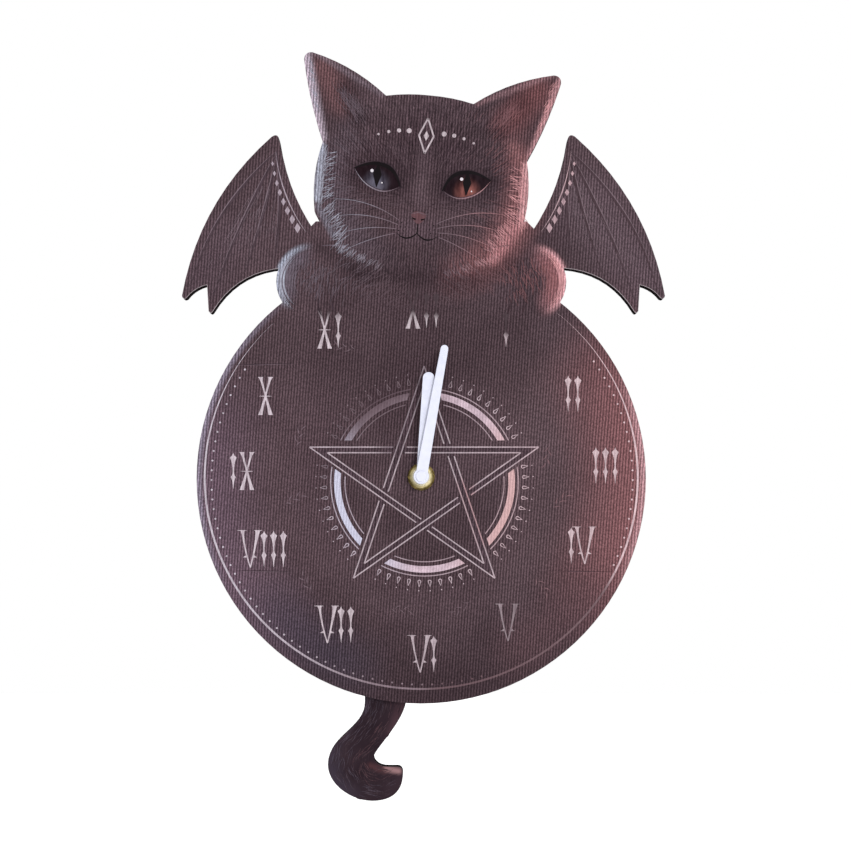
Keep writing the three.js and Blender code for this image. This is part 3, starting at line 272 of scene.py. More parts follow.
# %% [markdown]
# ## Plain finishes
# The board, the movement and the metal parts have finishes of one kind: two near colours mixed by grain,
# a roughness that varies with it, and a little bump. `coat` and `bumped` feed the shader's sockets for
# every finish of the clock, and `finish` makes the plain ones, each with its own values, so that none is a
# single flat colour.

# %% Plain finishes
def fresh(name, metallic=0.0):
    """A new material, its graph and its Principled shader."""
    made = bpy.data.materials.new(name)
    made.use_nodes = True
    shader = made.node_tree.nodes["Principled BSDF"]
    shader.inputs["Metallic"].default_value = metallic
    return made, Graph(made.node_tree), shader


def coat(graph, shader, colour, cover, rough, gloss=0.5):
    """Gives a shader its colour, its gloss and a roughness that follows a cover value."""
    graph.feed(shader.inputs["Base Color"], colour)
    graph.feed(shader.inputs["Roughness"], graph.step(cover, 0.0, 1.0, *rough))
    shader.inputs["Specular IOR Level"].default_value = gloss


def bumped(graph, shader, height, strength, depth):
    bump = graph.node("ShaderNodeBump", {"Height": height, "Strength": strength, "Distance": depth * MM})
    graph.feed(shader.inputs["Normal"], bump.outputs["Normal"])


ROUGH_SPREAD = 0.06
GRAIN_SHARE = 0.6
CLOUD_SIZE = 14


def finish(name, dark, light, rough, metallic=0.0, scale=600.0, stretch=(1, 1, 1), depth=0.02, gloss=0.5):
    """Two near colours mixed by grain and by larger clouds, with a little bump."""
    made, graph, shader = fresh(name, metallic)
    grain = graph.group(fine_grain, Scale=scale, Detail=4.0, Stretch=stretch)
    cloud = graph.group(fine_grain, Scale=scale / CLOUD_SIZE, Detail=2.0, Stretch=stretch)
    fine, wide = graph.math("MULTIPLY", grain, GRAIN_SHARE), graph.math("MULTIPLY", cloud, 1 - GRAIN_SHARE)
    colour = graph.mix(graph.math("ADD", fine, wide), tone(*dark), tone(*light))
    coat(graph, shader, colour, cloud, (rough - ROUGH_SPREAD, rough + ROUGH_SPREAD), gloss)
    bumped(graph, shader, grain, 0.5, depth)
    return made


HAND_WHITES = ((198, 200, 216), (210, 212, 227))
board_black = finish("board_black", (17, 13, 14), (32, 27, 29), 0.75, scale=900, depth=0.05, gloss=0.0)
film_edge = finish("film_edge", (70, 58, 63), (112, 98, 104), 0.6, scale=800, gloss=0.2)
film_core = finish("film_core", (124, 113, 117), (168, 157, 161), 0.6, scale=800, gloss=0.2)
hand_white = finish("hand_white", *HAND_WHITES, 0.45, scale=300, depth=0.004)
steel = finish("steel", (150, 151, 154), (196, 197, 200), 0.36, 1.0, 500, (1, 1, 0.06), 0.008)
case_black = finish("case_black", (26, 26, 28), (44, 44, 46), 0.55, scale=1500, depth=0.03)
gear_white = finish("gear_white", (212, 210, 199), (232, 231, 222), 0.42, scale=500)
rubber_black = finish("rubber_black", (24, 23, 23), (40, 39, 38), 0.78, scale=1200, depth=0.03)
circuit_green = finish("circuit_green", (24, 70, 44), (40, 96, 62), 0.4, scale=1400, depth=0.02)
magnet_grey = finish("magnet_grey", (62, 62, 64), (96, 95, 96), 0.5, scale=1600, depth=0.02)
floor_pale = finish("floor_pale", (250, 250, 250), (253, 253, 253), 0.8, scale=40, depth=0.01)
floor.data.materials.append(floor_pale)

WIRE_PITCH = 0.16 * MM


def wound(name, axis):
    """Fine copper wire wound side by side along one axis of the part, each turn painted lighter on its
    crest and darker between turns: painted highlight and painted shade.
    """
    made, graph, shader = fresh(name, 1.0)
    crest = graph.wave(graph.math("DIVIDE", graph.along(axis), WIRE_PITCH))
    # Painted highlight on each wire's crest and painted shade between the turns.
    coat(graph, shader, graph.mix(crest, tone(120, 58, 30), tone(206, 122, 76)), crest, (0.45, 0.28))
    bumped(graph, shader, crest, 0.6, 0.03)
    return made


def round_hub(name, metallic, inner, outer, low, high, rough):
    """A finish that passes from one pair of colours to another with the distance from the hand axis."""
    made, graph, shader = fresh(name, metallic)
    grain = graph.group(fine_grain, Scale=500.0, Detail=4.0)
    away = graph.vector("LENGTH", graph.vector("MULTIPLY", graph.place(), (1, 0, 1)), out="Value")
    near = graph.mix(grain, tone(*inner[0]), tone(*inner[1]))
    far = graph.mix(grain, tone(*outer[0]), tone(*outer[1]))
    colour = graph.mix(graph.step(away, low * MM, high * MM), near, far)
    coat(graph, shader, colour, grain, (rough - ROUGH_SPREAD, rough + ROUGH_SPREAD))
    return made


# Brass colours with a painted highlight near the hand axis and painted shade towards the rims of the washer
# and nut.
HIGHLIT_BRASS = ((190, 176, 128), (216, 204, 160))
SHADED_BRASS = ((76, 63, 34), (112, 97, 58))
# The hour hand's hub is painted cream near the axis: a painted reflection of the brass, with painted shade.
HUB_REFLECTED_CREAMS = ((196, 187, 158), (212, 204, 176))
brass = round_hub("brass", 1.0, HIGHLIT_BRASS, SHADED_BRASS, 4.2, 5.5, 0.34)
hour_white_and_reflection = round_hub("hour_white_and_reflection", 0.0, HUB_REFLECTED_CREAMS, HAND_WHITES, 4.3, 6.5, 0.45)
motor_wire = wound("motor_wire", "X")
drive_wire = wound("drive_wire", "Y")
print("plain finishes", len(bpy.data.materials))

# %% [markdown]
# The frame's own solids that stay in view, or that sit inside the closed case, keep their shape and take
# one of these finishes. The wheels, coils and contacts are right as they are.

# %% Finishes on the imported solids
PLAIN_PARTS = (
    (gear_white, "hour_wheel minute_wheel motion_wheel third_wheel second_wheel intermediate_wheel"),
    (gear_white, "rotor_arbor coil_bobbin drive_bobbin"),
    (steel, "minute_arbor stator_plate coil_core quartz_crystal pivot_pin"),
    (steel, "positive_contact negative_contact"),
    (motor_wire, "coil_winding"),
    (drive_wire, "drive_winding"),
    (magnet_grey, "rotor_magnet pendulum_magnet"),
    (circuit_green, "circuit_board"),
    (rubber_black, "clock_chip rubber_gasket"),
)
for material, nodes in PLAIN_PARTS:
    for node in nodes.split():
        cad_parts[node].material_slots[0].material = material
    print(material.name, "on", nodes)

# %% [markdown]
# ## Making a piece
# `keep` turns a bmesh into a finished object that rides on a body. `softened` takes a copy of a packed
# solid, merges its loose triangles, clears the flat faces and rounds the sharp edges a little, because
# nothing that is sawn, moulded or stamped has a perfectly sharp edge. A Bevel modifier could do the last
# step, but the operator leaves the mesh finished.

# %% Piece helpers
SMOOTH_ANGLE = math.radians(35)


def keep(name, bm, materials, body, slot, *nodes):
    """A finished object from a bmesh, riding on a body and standing for the nodes named."""
    mesh = bpy.data.meshes.new(name)
    for face in bm.faces:
        face.smooth = True
    for edge in bm.edges:
        sides = edge.link_faces
        edge.smooth = len(sides) == 2 and edge.calc_face_angle() < SMOOTH_ANGLE
    bm.to_mesh(mesh)
    bm.free()
    for material in materials:
        mesh.materials.append(material)
    made = bpy.data.objects.new(name, mesh)
    scene.collection.objects.link(made)
    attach(made, body)
    if nodes:
        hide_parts(*nodes)
    return made


def merged(node):
    """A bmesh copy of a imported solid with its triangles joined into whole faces."""
    bm = bmesh.new()
    bm.from_mesh(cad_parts[node].data)
    bmesh.ops.remove_doubles(bm, verts=bm.verts, dist=0.001 * MM)
    bmesh.ops.dissolve_limit(bm, angle_limit=math.radians(0.5), verts=bm.verts, edges=bm.edges)
    return bm


def round_edges(bm, width, segments=2, sharper=40):
    """Rounds every edge where two faces meet at more than an angle."""
    limit = math.radians(sharper)
    sharp = [edge for edge in bm.edges if len(edge.link_faces) == 2 and edge.calc_face_angle() > limit]
    bmesh.ops.bevel(
        bm,
        geom=sharp,
        offset=width,
        offset_type="OFFSET",
        segments=segments,
        profile=0.5,
        affect="EDGES",
        clamp_overlap=True,
        material=-1,
    )


def even(made):
    """Lets a piece's broad faces set its shading, so that narrow rounds at their edges don't tint them."""
    made.modifiers.new("even_shading", "WEIGHTED_NORMAL").keep_sharp = True
    return made


def softened(node, width, material, body, slot, segments=2):
    """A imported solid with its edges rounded, which stands for the solid."""
    bm = merged(node)
    round_edges(bm, width, segments)
    return even(keep(node + "_skin", bm, [material], body, slot, node))


print("piece helpers ready")

# %% [markdown]
# ## The board
# The board is five millimetres of fibreboard, painted black on its edge and back. Its edge is sawn, so it
# only has the smallest round on it.

# %% Board
board = softened("backing_board", 0.3 * MM, board_black, BODY, "board_black")
tail_board = softened("tail_board", 0.3 * MM, board_black, "tail", "board_black")
print("board faces", len(board.data.polygons), "tail faces", len(tail_board.data.polygons))

# %% [markdown]
# ## Colours of the print
# The print is a dusky plum, cooler and paler on the left, redder on the right, as if lit from both sides.
# These few colours make all of it. The places are in millimetres from the hand axis, x to the right and z
# up; `spot` turns them into metres for a node, and `head_spot` takes a place on the tilted head.

# %% Print colours and places
PLUM_DEEP = (70, 56, 61)
PLUM = (92, 75, 81)
PLUM_PALE = (104, 86, 95)
SHADE = (42, 33, 38)
DIAL_Z = -0.9
HEAD = Vector((0.5, 136.4))
HEAD_TILT = math.radians(-5.5)
PAW_X = 48.97
PAW_Z = 88.92


def spot(x, z):
    return (x * MM, 0.0, z * MM)


def on_head(x, z):
    """A place on the upright head, moved to where the tilted head carries it."""
    turned = Matrix.Rotation(HEAD_TILT, 2) @ Vector((x, z))
    return turned + HEAD


def head_spot(x, z):
    return spot(*on_head(x, z))


def around(degrees, tall=1.0):
    """The direction at an angle, one long, for what stands round a middle."""
    angle = math.radians(degrees)
    return Vector((math.cos(angle), math.sin(angle) * tall))


print("left ear tip at", [round(value, 1) for value in on_head(-58, 52)])

# %% [markdown]
# ## The film's finish
# The colour is painted in layers: plum mixed by soft clouds, then wide tints over the dial, then the glows
# of rims, cheeks, ears and paws, then fur, then the painted light and shade of the ribs over all. Each
# layer is one glow and one colour.
# Fur is noise stretched outwards from the middle of the head: its coordinates are the angle about that
# middle and the distance from it.

# %% Film finish
def lay(graph, base, glow, strength, colour):
    """Lays a colour over a base where a glow falls."""
    return graph.mix(graph.math("MULTIPLY", glow, strength), base, print_tone(*colour))


def fur_lines(graph, middle, fineness, length):
    """Streaks that run outwards from a point."""
    parts = graph.node("ShaderNodeSeparateXYZ", {0: graph.vector("SUBTRACT", graph.place(), middle)})
    sideways, upwards = parts.outputs["X"], parts.outputs["Z"]
    angle = graph.math("MULTIPLY", graph.math("ARCTAN2", upwards, sideways), fineness)
    flat = graph.node("ShaderNodeCombineXYZ", {0: sideways, 1: upwards}).outputs[0]
    away = graph.vector("LENGTH", flat, out="Value")
    streaks = graph.node("ShaderNodeCombineXYZ", {0: angle, 1: graph.math("MULTIPLY", away, length)})
    noise = graph.node("ShaderNodeTexNoise", {"Vector": streaks.outputs[0], "Scale": 1.0, "Detail": 3.0})
    return graph.step(noise.outputs[0], 0.42, 0.7)


def stroke_glow(graph, start, end, width):
    return graph.group(soft_stroke, Start=start, End=end, Width=width * MM)


def arc_glow(graph, centre, radius, width, towards, spread):
    heading = Vector((towards[0], 0, towards[1])).normalized()
    sizes = {"Radius": radius * MM, "Width": width * MM, "Spread": spread}
    return graph.group(soft_arc, Centre=centre, Towards=heading, **sizes)


def lines(graph, base, rows, place=spot):
    """Lays soft strokes: a row is two places, a width, a strength and a colour."""
    for start, end, width, strength, colour in rows:
        base = lay(graph, base, stroke_glow(graph, place(*start), place(*end), width), strength, colour)
    return base


def arcs(graph, base, centre, rows):
    """Lays soft arcs: a row is a radius, a width, a heading, its spread, a strength and a colour."""
    for radius, width, towards, spread, strength, colour in rows:
        base = lay(graph, base, arc_glow(graph, centre, radius, width, towards, spread), strength, colour)
    return base


FILM_GLOSS = 0.04
WEAVE_SHARE = 0.65


def ribbed(graph, shader, colour, contrast):
    """Puts the film's ribs, as painted highlight on the crests and painted shade in the valleys, and its
    weave over a colour, and gives the shader its satin finish.
    """
    crest = graph.group(film_ribs)
    # Painted highlight on the rib crests and painted shade in the rib valleys.
    rows = graph.step(crest, 0.0, 1.0, 1.0 - contrast, 1.0 + contrast)
    weave = graph.group(fine_grain, Scale=1500.0, Detail=1.0, Stretch=(1, 1, 0.7))
    slight = contrast * WEAVE_SHARE
    uneven = graph.step(weave, 0.0, 1.0, 1.0 - slight, 1.0 + slight)
    shade = graph.scaled(colour, graph.math("MULTIPLY", rows, uneven))
    coat(graph, shader, shade, crest, (0.72, 0.56), FILM_GLOSS)


print("layers ready")

# %% [markdown]
# The rows below are the painter's notes, in the order in which the colours are laid: the dial, the wings,
# the head with its shadows, cheeks and ears, and the paws. Left rows are cool and right rows are warm.

# %% Layers of the film
DIAL_ARCS = (
    (70, 60, (0.1, 1), 0.5, 0.35, PLUM_DEEP),
    (97, 40, (0.05, -1), 0.5, 0.8, (64, 51, 56)),
    (60, 34, (1, 0.0), 0.7, 0.42, (101, 82, 87)),
    (60, 34, (-1, 0.0), 0.5, 0.45, (96, 77, 84)),
    (100, 36, (-0.96, -0.26), 0.36, 0.85, (108, 88, 101)),
    (100, 42, (1, 0.0), 0.36, 0.95, (132, 91, 94)),
    (90, 22, (-0.56, -0.83), 0.11, 0.6, (73, 65, 77)),
    (90, 22, (0.68, -0.73), 0.1, 0.6, (96, 73, 78)),
    (101.4, 2.4, (-1, 0.2), 0.3, 0.85, (140, 130, 147)),
    (101.2, 2.6, (1, 0.0), 0.14, 0.9, (186, 143, 149)),
)
WING_LINES = (
    ((-90, 108), (-100, 90), 22, 0.4, (99, 82, 91)),
    ((74, 126), (102, 90), 26, 0.6, (104, 87, 95)),
)
ALL_ROUND = ((0, 0.01), 2.1)
HEAD_ARCS = (
    (10, 36, *ALL_ROUND, 0.65, (64, 50, 56)),
    (47, 15, (1, -0.55), 0.5, 0.75, (138, 93, 95)),
    (40, 12, (-1, -0.3), 0.6, 0.35, (96, 86, 97)),
)
HEAD_LINES = (
    ((-28, 0), (-13, -4), 13, 0.65, SHADE),
    ((28, 0), (13, -4), 13, 0.65, SHADE),
    ((0, 14), (0, -10), 6, 0.4, (104, 86, 93)),
    ((-5, -24), (5, -24), 10, 0.35, PLUM_PALE),
    ((-47, 10), (-47, -14), 3.0, 0.9, (174, 177, 193)),
    ((40, 17), (46, 9), 7, 0.5, (152, 106, 108)),
    ((47, 10), (47, -16), 3.2, 0.85, (208, 160, 164)),
    ((-46, -18), (-38, -30), 2.6, 0.45, (134, 132, 146)),
    ((46, -16), (36, -34), 5.0, 0.7, (178, 124, 128)),
    ((-28, -45), (28, -45), 8, 0.3, SHADE),
    ((-43, -36), (-20, -48), 7, 0.35, SHADE),
    ((43, -36), (20, -48), 7, 0.35, SHADE),
    ((-40, 31), (-50, 45), 11, 0.7, (118, 85, 88)),
    ((37, 29), (49, 44), 13, 0.65, (124, 80, 82)),
    ((-31, 25), (-39, 36), 8, 0.6, SHADE),
    ((33, 26), (42, 38), 8, 0.5, (62, 41, 45)),
    ((-48, 14), (-59, 52), 4.6, 0.95, (186, 170, 184)),
    ((48, 14), (59, 52), 3.0, 0.6, (204, 154, 160)),
    ((-22, 36), (-56, 53), 2.4, 0.5, (128, 113, 123)),
    ((22, 36), (56, 53), 2.4, 0.5, (152, 117, 123)),
)
LEFT_PAW_ARCS = (
    (13.0, 6.0, (-1, 0.4), 0.8, 0.4, (118, 110, 126)),
    (16.4, 2.4, (-1, 0.35), 0.7, 0.8, (168, 174, 192)),
)
RIGHT_PAW_ARCS = (
    (12.4, 7.5, (1, 0.15), 1.0, 0.8, (166, 115, 120)),
    (16.0, 2.8, (1, 0.15), 0.8, 0.9, (226, 170, 176)),
)
DIAL = spot(0, DIAL_Z)
HEAD_MIDDLE = spot(*HEAD)

film_print, g, shader = fresh("film_print")
clouds = g.group(fine_grain, Scale=28.0, Detail=4.0)
base = g.mix(g.step(clouds, 0.0, 1.0, 0.2, 0.8), print_tone(*PLUM_DEEP), print_tone(*PLUM))
base = arcs(g, base, DIAL, DIAL_ARCS)
base = lines(g, base, WING_LINES)
base = arcs(g, base, HEAD_MIDDLE, HEAD_ARCS)
base = lines(g, base, HEAD_LINES, head_spot)
base = arcs(g, base, spot(-PAW_X, PAW_Z), LEFT_PAW_ARCS)
base = arcs(g, base, spot(PAW_X, PAW_Z), RIGHT_PAW_ARCS)
on_the_head = arc_glow(g, HEAD_MIDDLE, 24, 40, *ALL_ROUND)
long_fur = g.math("MULTIPLY", fur_lines(g, head_spot(0, -12), 34.0, 70.0), on_the_head)
short_fur = g.math("MULTIPLY", fur_lines(g, head_spot(0, -14), 70.0, 190.0), on_the_head)
base = lay(g, base, long_fur, 0.4, (112, 92, 100))
base = lay(g, base, short_fur, 0.65, (40, 31, 36))
ribbed(g, shader, base, 0.42)
print("film layers laid")

# %% [markdown]
# The tail is darker. It has a cool edge along the outside of its curl and a warm light on its tip.

# %% Layers of the tail
TAIL_CURL = spot(-26, -131)
tail_print, g, shader = fresh("tail_print")
clouds = g.group(fine_grain, Scale=60.0, Detail=4.0)
base = g.mix(clouds, print_tone(44, 34, 40), print_tone(60, 47, 54))
base = lines(g, base, (((-25.8, -102), (-35, -117), 4, 0.35, (84, 77, 88)),))
base = arcs(g, base, TAIL_CURL, ((15.5, 7, (-1, -0.35), 0.8, 0.45, (72, 66, 80)),))
TAIL_LIGHTS = (
    ((-9, -104), (-14, -117), 4, 0.35, (98, 70, 77)),
    ((-16, -134.2), (-10.5, -135.2), 2.6, 0.65, (186, 144, 146)),
    ((-23.5, -133), (-17, -135), 3, 0.35, (112, 72, 74)),
)
base = lines(g, base, TAIL_LIGHTS)
coat(g, shader, base, clouds, (0.42, 0.56), FILM_GLOSS)
print("tail layers laid")

# %% [markdown]
# ## The film itself
# The film is embossed with fine upright ribs. Its front is cut by planes at every crest and every valley,
# and the valleys are pressed back by less than a tenth of a millimetre. The walls round its edge are drawn
# back to the board. Under the wings the knife left a strip of the film's pale core in view, so the front is
# first inset by a narrow rim, and the rim's faces that look down there take the colour of the core.

# %% Ribbed film
RIB_DEPTH = 0.05 * MM
RIM_W = 0.19 * MM
WING_X = 64 * MM


def film_front(node):
    """The front face of a film alone, as a flat bmesh."""
    bm = merged(node)
    rest = [face for face in bm.faces if face.normal.y > -0.9]
    bmesh.ops.delete(bm, geom=rest, context="FACES")
    return bm


def close_film(bm, back):
    """Draws the walls back from the rim of a film's front and closes it behind."""
    rim = [edge for edge in bm.edges if edge.is_boundary]
    drawn = bmesh.ops.extrude_edge_only(bm, edges=rim)["geom"]
    for vert in (item for item in drawn if isinstance(item, bmesh.types.BMVert)):
        vert.co.y = back
    for face in (item for item in drawn if isinstance(item, bmesh.types.BMFace)):
        face.material_index = 1
    bmesh.ops.triangle_fill(bm, edges=[edge for edge in bm.edges if edge.is_boundary], use_beauty=True)
    bmesh.ops.recalc_face_normals(bm, faces=bm.faces)


bm = film_front("face_film")
rim = {"thickness": RIM_W, "use_boundary": True, "use_even_offset": True}
for face in bmesh.ops.inset_region(bm, faces=bm.faces[:], **rim)["faces"]:
    cut = next(edge for edge in face.edges if edge.is_boundary)
    middle = (cut.verts[0].co + cut.verts[1].co) / 2
    outwards = (middle - face.calc_center_median()).normalized()
    if abs(middle.x) > WING_X and middle.z > WING_X and outwards.z < -0.4:
        face.material_index = 2
half_pitch = RIB_PITCH / 2
reaches = [vert.co.dot(ACROSS_RIBS) for vert in bm.verts]
for line in range(math.ceil(min(reaches) / half_pitch), math.floor(max(reaches) / half_pitch) + 1):
    bmesh.ops.bisect_plane(
        bm,
        geom=bm.verts[:] + bm.edges[:] + bm.faces[:],
        dist=0.001 * MM,
        plane_co=ACROSS_RIBS * line * half_pitch,
        plane_no=ACROSS_RIBS,
    )
for vert in bm.verts:
    turn = math.cos(2 * math.pi * vert.co.dot(ACROSS_RIBS) / RIB_PITCH)
    vert.co.y += RIB_DEPTH * (1 - turn) / 2
close_film(bm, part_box("face_film")[1].y)
face_film = keep("face_film_skin", bm, [film_print, film_edge, film_core], BODY, "film_print", "face_film")

bm = film_front("tail_film")
close_film(bm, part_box("tail_film")[1].y)
tail_film = keep("tail_film_skin", bm, [tail_print, film_edge], "tail", "film_print", "tail_film")
print("film faces", len(face_film.data.polygons), "tail film faces", len(tail_film.data.polygons))

# %% [markdown]
# ## Ink
# Everything printed in pale lines is a thin closed shape that lies in the film. All of it is made from one
# operator, a flat grid whose two long edges are laid along two curves, and from small discs. `printed`
# gives the shapes of a bmesh their thickness. A level tells which ink lies over which.

# %% Ink helpers
INK_STEP = 0.02 * MM
INK_BACK = FILM_FRONT + 0.1 * MM
THIN_END = 0.06


def ribbon(bm, steps, one_edge, other_edge, lift=0.0):
    """A flat strip between two edges, each a function of the way along it, 0 to 1, giving x and z."""
    made = bmesh.ops.create_grid(bm, x_segments=steps, y_segments=1, size=0.5)
    for vert in made["verts"]:
        edge = other_edge if vert.co.y > 0 else one_edge
        x, z = edge(vert.co.x + 0.5)
        vert.co = (x * MM, -lift * INK_STEP, z * MM)


def between(values, share):
    """The value at a share of the way along a list of (share, value) pairs."""
    for (low, first), (high, second) in zip(values, values[1:]):
        if share <= high:
            return first + (second - first) * (share - low) / (high - low)
    return values[-1][1]


def stroke(bm, start, end, widths, steps=1, bow=0.0, lift=0.0, level_cut=False):
    """A tapered stroke from one point to another, bowed to its left, its ends square or cut level."""
    first, second = Vector(start), Vector(end)
    along = second - first
    side = Vector((1, 0)) if level_cut else Vector((-along.y, along.x)).normalized()
    profile = [(0, widths[0]), (1, widths[-1])] if isinstance(widths[0], (int, float)) else widths

    def edge(sign):
        def place(share):
            lean = bow * 4 * share * (1 - share)
            return first + along * share + side * (lean + sign * between(profile, share) / 2)

        return place

    ribbon(bm, steps, edge(-1), edge(1), lift)


def sweep(bm, centre, radius, width, start, end, steps, taper=0.0, tall=1.0, lift=0.0):
    """A strip along part of a circle, angles in degrees; taper is the share of each end that narrows."""
    middle = Vector(centre)

    def edge(sign):
        def place(share):
            thin = min(1.0, min(share, 1 - share) / taper) if taper else 1.0
            reach = radius + sign * width * max(thin, THIN_END) / 2
            return middle + around(start + (end - start) * share, tall) * reach

        return place

    ribbon(bm, steps, edge(-1), edge(1), lift)


def disc(bm, x, z, radius, sides=10, tall=1.0, lift=0.0):
    made = bmesh.ops.create_circle(bm, cap_ends=True, segments=sides, radius=radius * MM)
    for vert in made["verts"]:
        vert.co = (x * MM + vert.co.x, -lift * INK_STEP, z * MM + vert.co.y * tall)


def printed(name, bm, material, level=1, back=INK_BACK, front=FILM_FRONT, body=BODY, slot="film_print"):
    """Gives flat shapes a thickness, from inside the film to just in front of it, and keeps them."""
    drawn = bmesh.ops.extrude_face_region(bm, geom=bm.faces[:], use_keep_orig=True)["geom"]
    raised = {item for item in drawn if isinstance(item, bmesh.types.BMVert)}
    for vert in bm.verts:
        vert.co.y = vert.co.y + front - level * INK_STEP if vert in raised else back
    bmesh.ops.recalc_face_normals(bm, faces=bm.faces)
    return keep(name, bm, [material], body, slot)


print("ink step", INK_STEP)

# %% [markdown]
# Ink takes the same side light as the film: cooler on the left, pinker on the right. It fades under the
# chin and the paws, where the print lets the numerals sink into shadow.

# %% Ink finishes
FADE_HEADING = (0.53, -0.85)
FADE_TONE = (104, 82, 87)
STAR_DIM = (
    ((1, 54), (-14, 14), 11, 0.65, (104, 88, 98)),
    ((20, -4), (29, -28), 7, 0.55, (166, 112, 114)),
)


def worn(graph, colour, strength):
    """Wears an ink unevenly down to the plum under it."""
    return lay(graph, colour, graph.group(fine_grain, Scale=260.0, Detail=3.0), strength, PLUM_PALE)


def ink(name, left, middle, right, contrast=0.12, veiled=True, fade=None, reach=90, dim=()):
    """An ink of three tones, cool on the left and warm on the right, that can sink into the film."""
    made, graph, shader = fresh(name)
    across = graph.along("X")
    cool = graph.step(across, -10 * MM, -reach * MM)
    warm = graph.step(across, 10 * MM, reach * MM)
    colour = graph.mix(cool, print_tone(*middle), print_tone(*left))
    colour = worn(graph, graph.mix(warm, colour, print_tone(*right)), 0.3)
    if veiled:
        chin = stroke_glow(graph, spot(-8, 92), spot(14, 90), 24)
        left_paw = stroke_glow(graph, spot(-50, 84), spot(-42, 82), 17)
        right_paw = stroke_glow(graph, spot(36, 80), spot(44, 76), 17)
        veil = graph.step(graph.math("MAXIMUM", chin, right_paw), 0.02, 0.3)
        veil = graph.math("MAXIMUM", veil, graph.step(left_paw, 0.1, 0.7))
        colour = lay(graph, colour, veil, 0.97, PLUM_DEEP)
    if fade:
        gone = graph.step(arc_glow(graph, DIAL, 97, 24, FADE_HEADING, fade), 0.0, 0.6)
        colour = lay(graph, colour, gone, 0.9, FADE_TONE)
    ribbed(graph, shader, lines(graph, colour, dim), contrast)
    return made


ink_bright = ink("ink_bright", (212, 198, 207), (204, 190, 196), (212, 187, 192))
ink_faint = ink("ink_faint", (186, 170, 177), (187, 171, 178), (117, 100, 105), reach=60)
ink_border = ink("ink_border", (204, 194, 205), (140, 122, 130), (226, 196, 201), fade=0.22)
ink_star = ink("ink_star", (196, 181, 191), (190, 174, 181), (204, 175, 181), dim=STAR_DIM)
ink_band = ink("ink_band", (76, 62, 69), (72, 58, 64), (78, 61, 66), contrast=0.4, veiled=False)
ink_line = ink("ink_line", (186, 172, 184), (166, 150, 158), (200, 166, 172))
# Pale ink for the creases' painted highlights and for the leaf sprigs.
crease_highlight_and_leaf_ink = ink("crease_highlight_and_leaf_ink", (128, 110, 120), (110, 93, 100), (142, 105, 109), veiled=False)
vein_ink = ink("vein_ink", (128, 112, 121), (118, 101, 108), (124, 107, 114), veiled=False)
groove_ink = ink("groove_ink", (70, 57, 63), (66, 53, 58), (72, 57, 62), veiled=False)
ink_dark = ink("ink_dark", (60, 48, 54), (50, 40, 45), (72, 50, 53), veiled=False)
print("ink finishes ready")

# %% [markdown]
# ## Numerals
# The dial has Roman numerals, drawn upright. A one is a slim stem with a kite-shaped head and a smaller
# swelling lower down; a five has flat serifs and two small spurs; a ten has flared ends and a fine line
# through its crossing. Each numeral is built of those three letters.

# %% Numerals
STEM_TALL = 16.4
FIVE_TALL = 16.9
TEN_TALL = 17.3
KITE = [(0, 0.1), (0.06, 0.8), (0.13, 3.3), (0.2, 2.0), (0.3, 1.15), (0.45, 0.6)]
LOBE = [(0.56, 0.6), (0.62, 1.2), (0.67, 2.5), (0.73, 1.3), (0.82, 0.7), (1, 0.1)]
STEM_WIDTHS = KITE + LOBE
ADVANCE = {"I": 4.4, "V": 8.0, "X": 8.0}
NUMERALS = (
    ("I", 38.6, 67.5),
    ("II", 69.1, 37.9),
    ("III", 83.9, 5.2),
    ("IV", 72.3, -31.2),
    ("VII", -38.3, -67.2),
    ("VIII", -71.2, -32.8),
    ("IX", -81.6, 2.7),
    ("X", -70.9, 36.9),
    ("XI", -41.8, 67.1),
    ("XII", 0.6, 76.2),
)
FAINT_NUMERALS = (("V", 39.5, -66.3), ("VI", 1.7, -80.6))


def letter_one(bm, x, z):
    top, foot = z + STEM_TALL / 2, z - STEM_TALL / 2
    stroke(bm, (x, top), (x, foot), STEM_WIDTHS, steps=32)


def letter_five(bm, x, z):
    top, foot = z + FIVE_TALL / 2, z - FIVE_TALL / 2
    serif = [(0, 0.12), (0.3, 0.38), (0.7, 0.38), (1, 0.12)]
    thin_arm = [(0, 2.0), (0.05, 1.4), (0.14, 0.95), (0.45, 0.7), (1, 0.55)]
    thick_arm = [(0, 2.4), (0.06, 1.8), (0.2, 1.3), (0.45, 0.85), (1, 0.55)]
    stroke(bm, (x - 3.6, top), (x, foot), thin_arm, 24, bow=-0.5, level_cut=True)
    stroke(bm, (x + 3.4, top), (x, foot), thick_arm, 24, bow=0.2, lift=0.2, level_cut=True)
    stroke(bm, (x - 6.0, top), (x - 1.7, top), serif, 4, lift=0.4)
    stroke(bm, (x + 1.7, top), (x + 5.3, top), serif, 4, lift=0.4)
    stroke(bm, (x - 3.3, z - 3.8), (x - 1.2, z - 3.2), (0.1, 1.5), lift=0.6)
    stroke(bm, (x + 3.0, z - 3.8), (x + 0.9, z - 3.2), (0.1, 1.6), lift=0.6)


def letter_ten(bm, x, z):
    top, foot = z + TEN_TALL / 2, z - TEN_TALL / 2
    flare = [(0, 2.5), (0.03, 1.8), (0.12, 1.0), (0.4, 0.75), (0.6, 0.95), (0.85, 1.4), (1, 2.0)]
    stroke(bm, (x - 2.3, top), (x + 2.35, foot), flare, 32, level_cut=True)
    stroke(bm, (x + 2.3, top), (x - 2.35, foot), flare, 32, lift=0.2, level_cut=True)
    stroke(bm, (x - 2.8, z - 0.1), (x + 2.8, z - 0.1), [(0, 0.1), (0.5, 0.5), (1, 0.1)], 2, lift=0.4)


LETTERS = {"I": letter_one, "V": letter_five, "X": letter_ten}


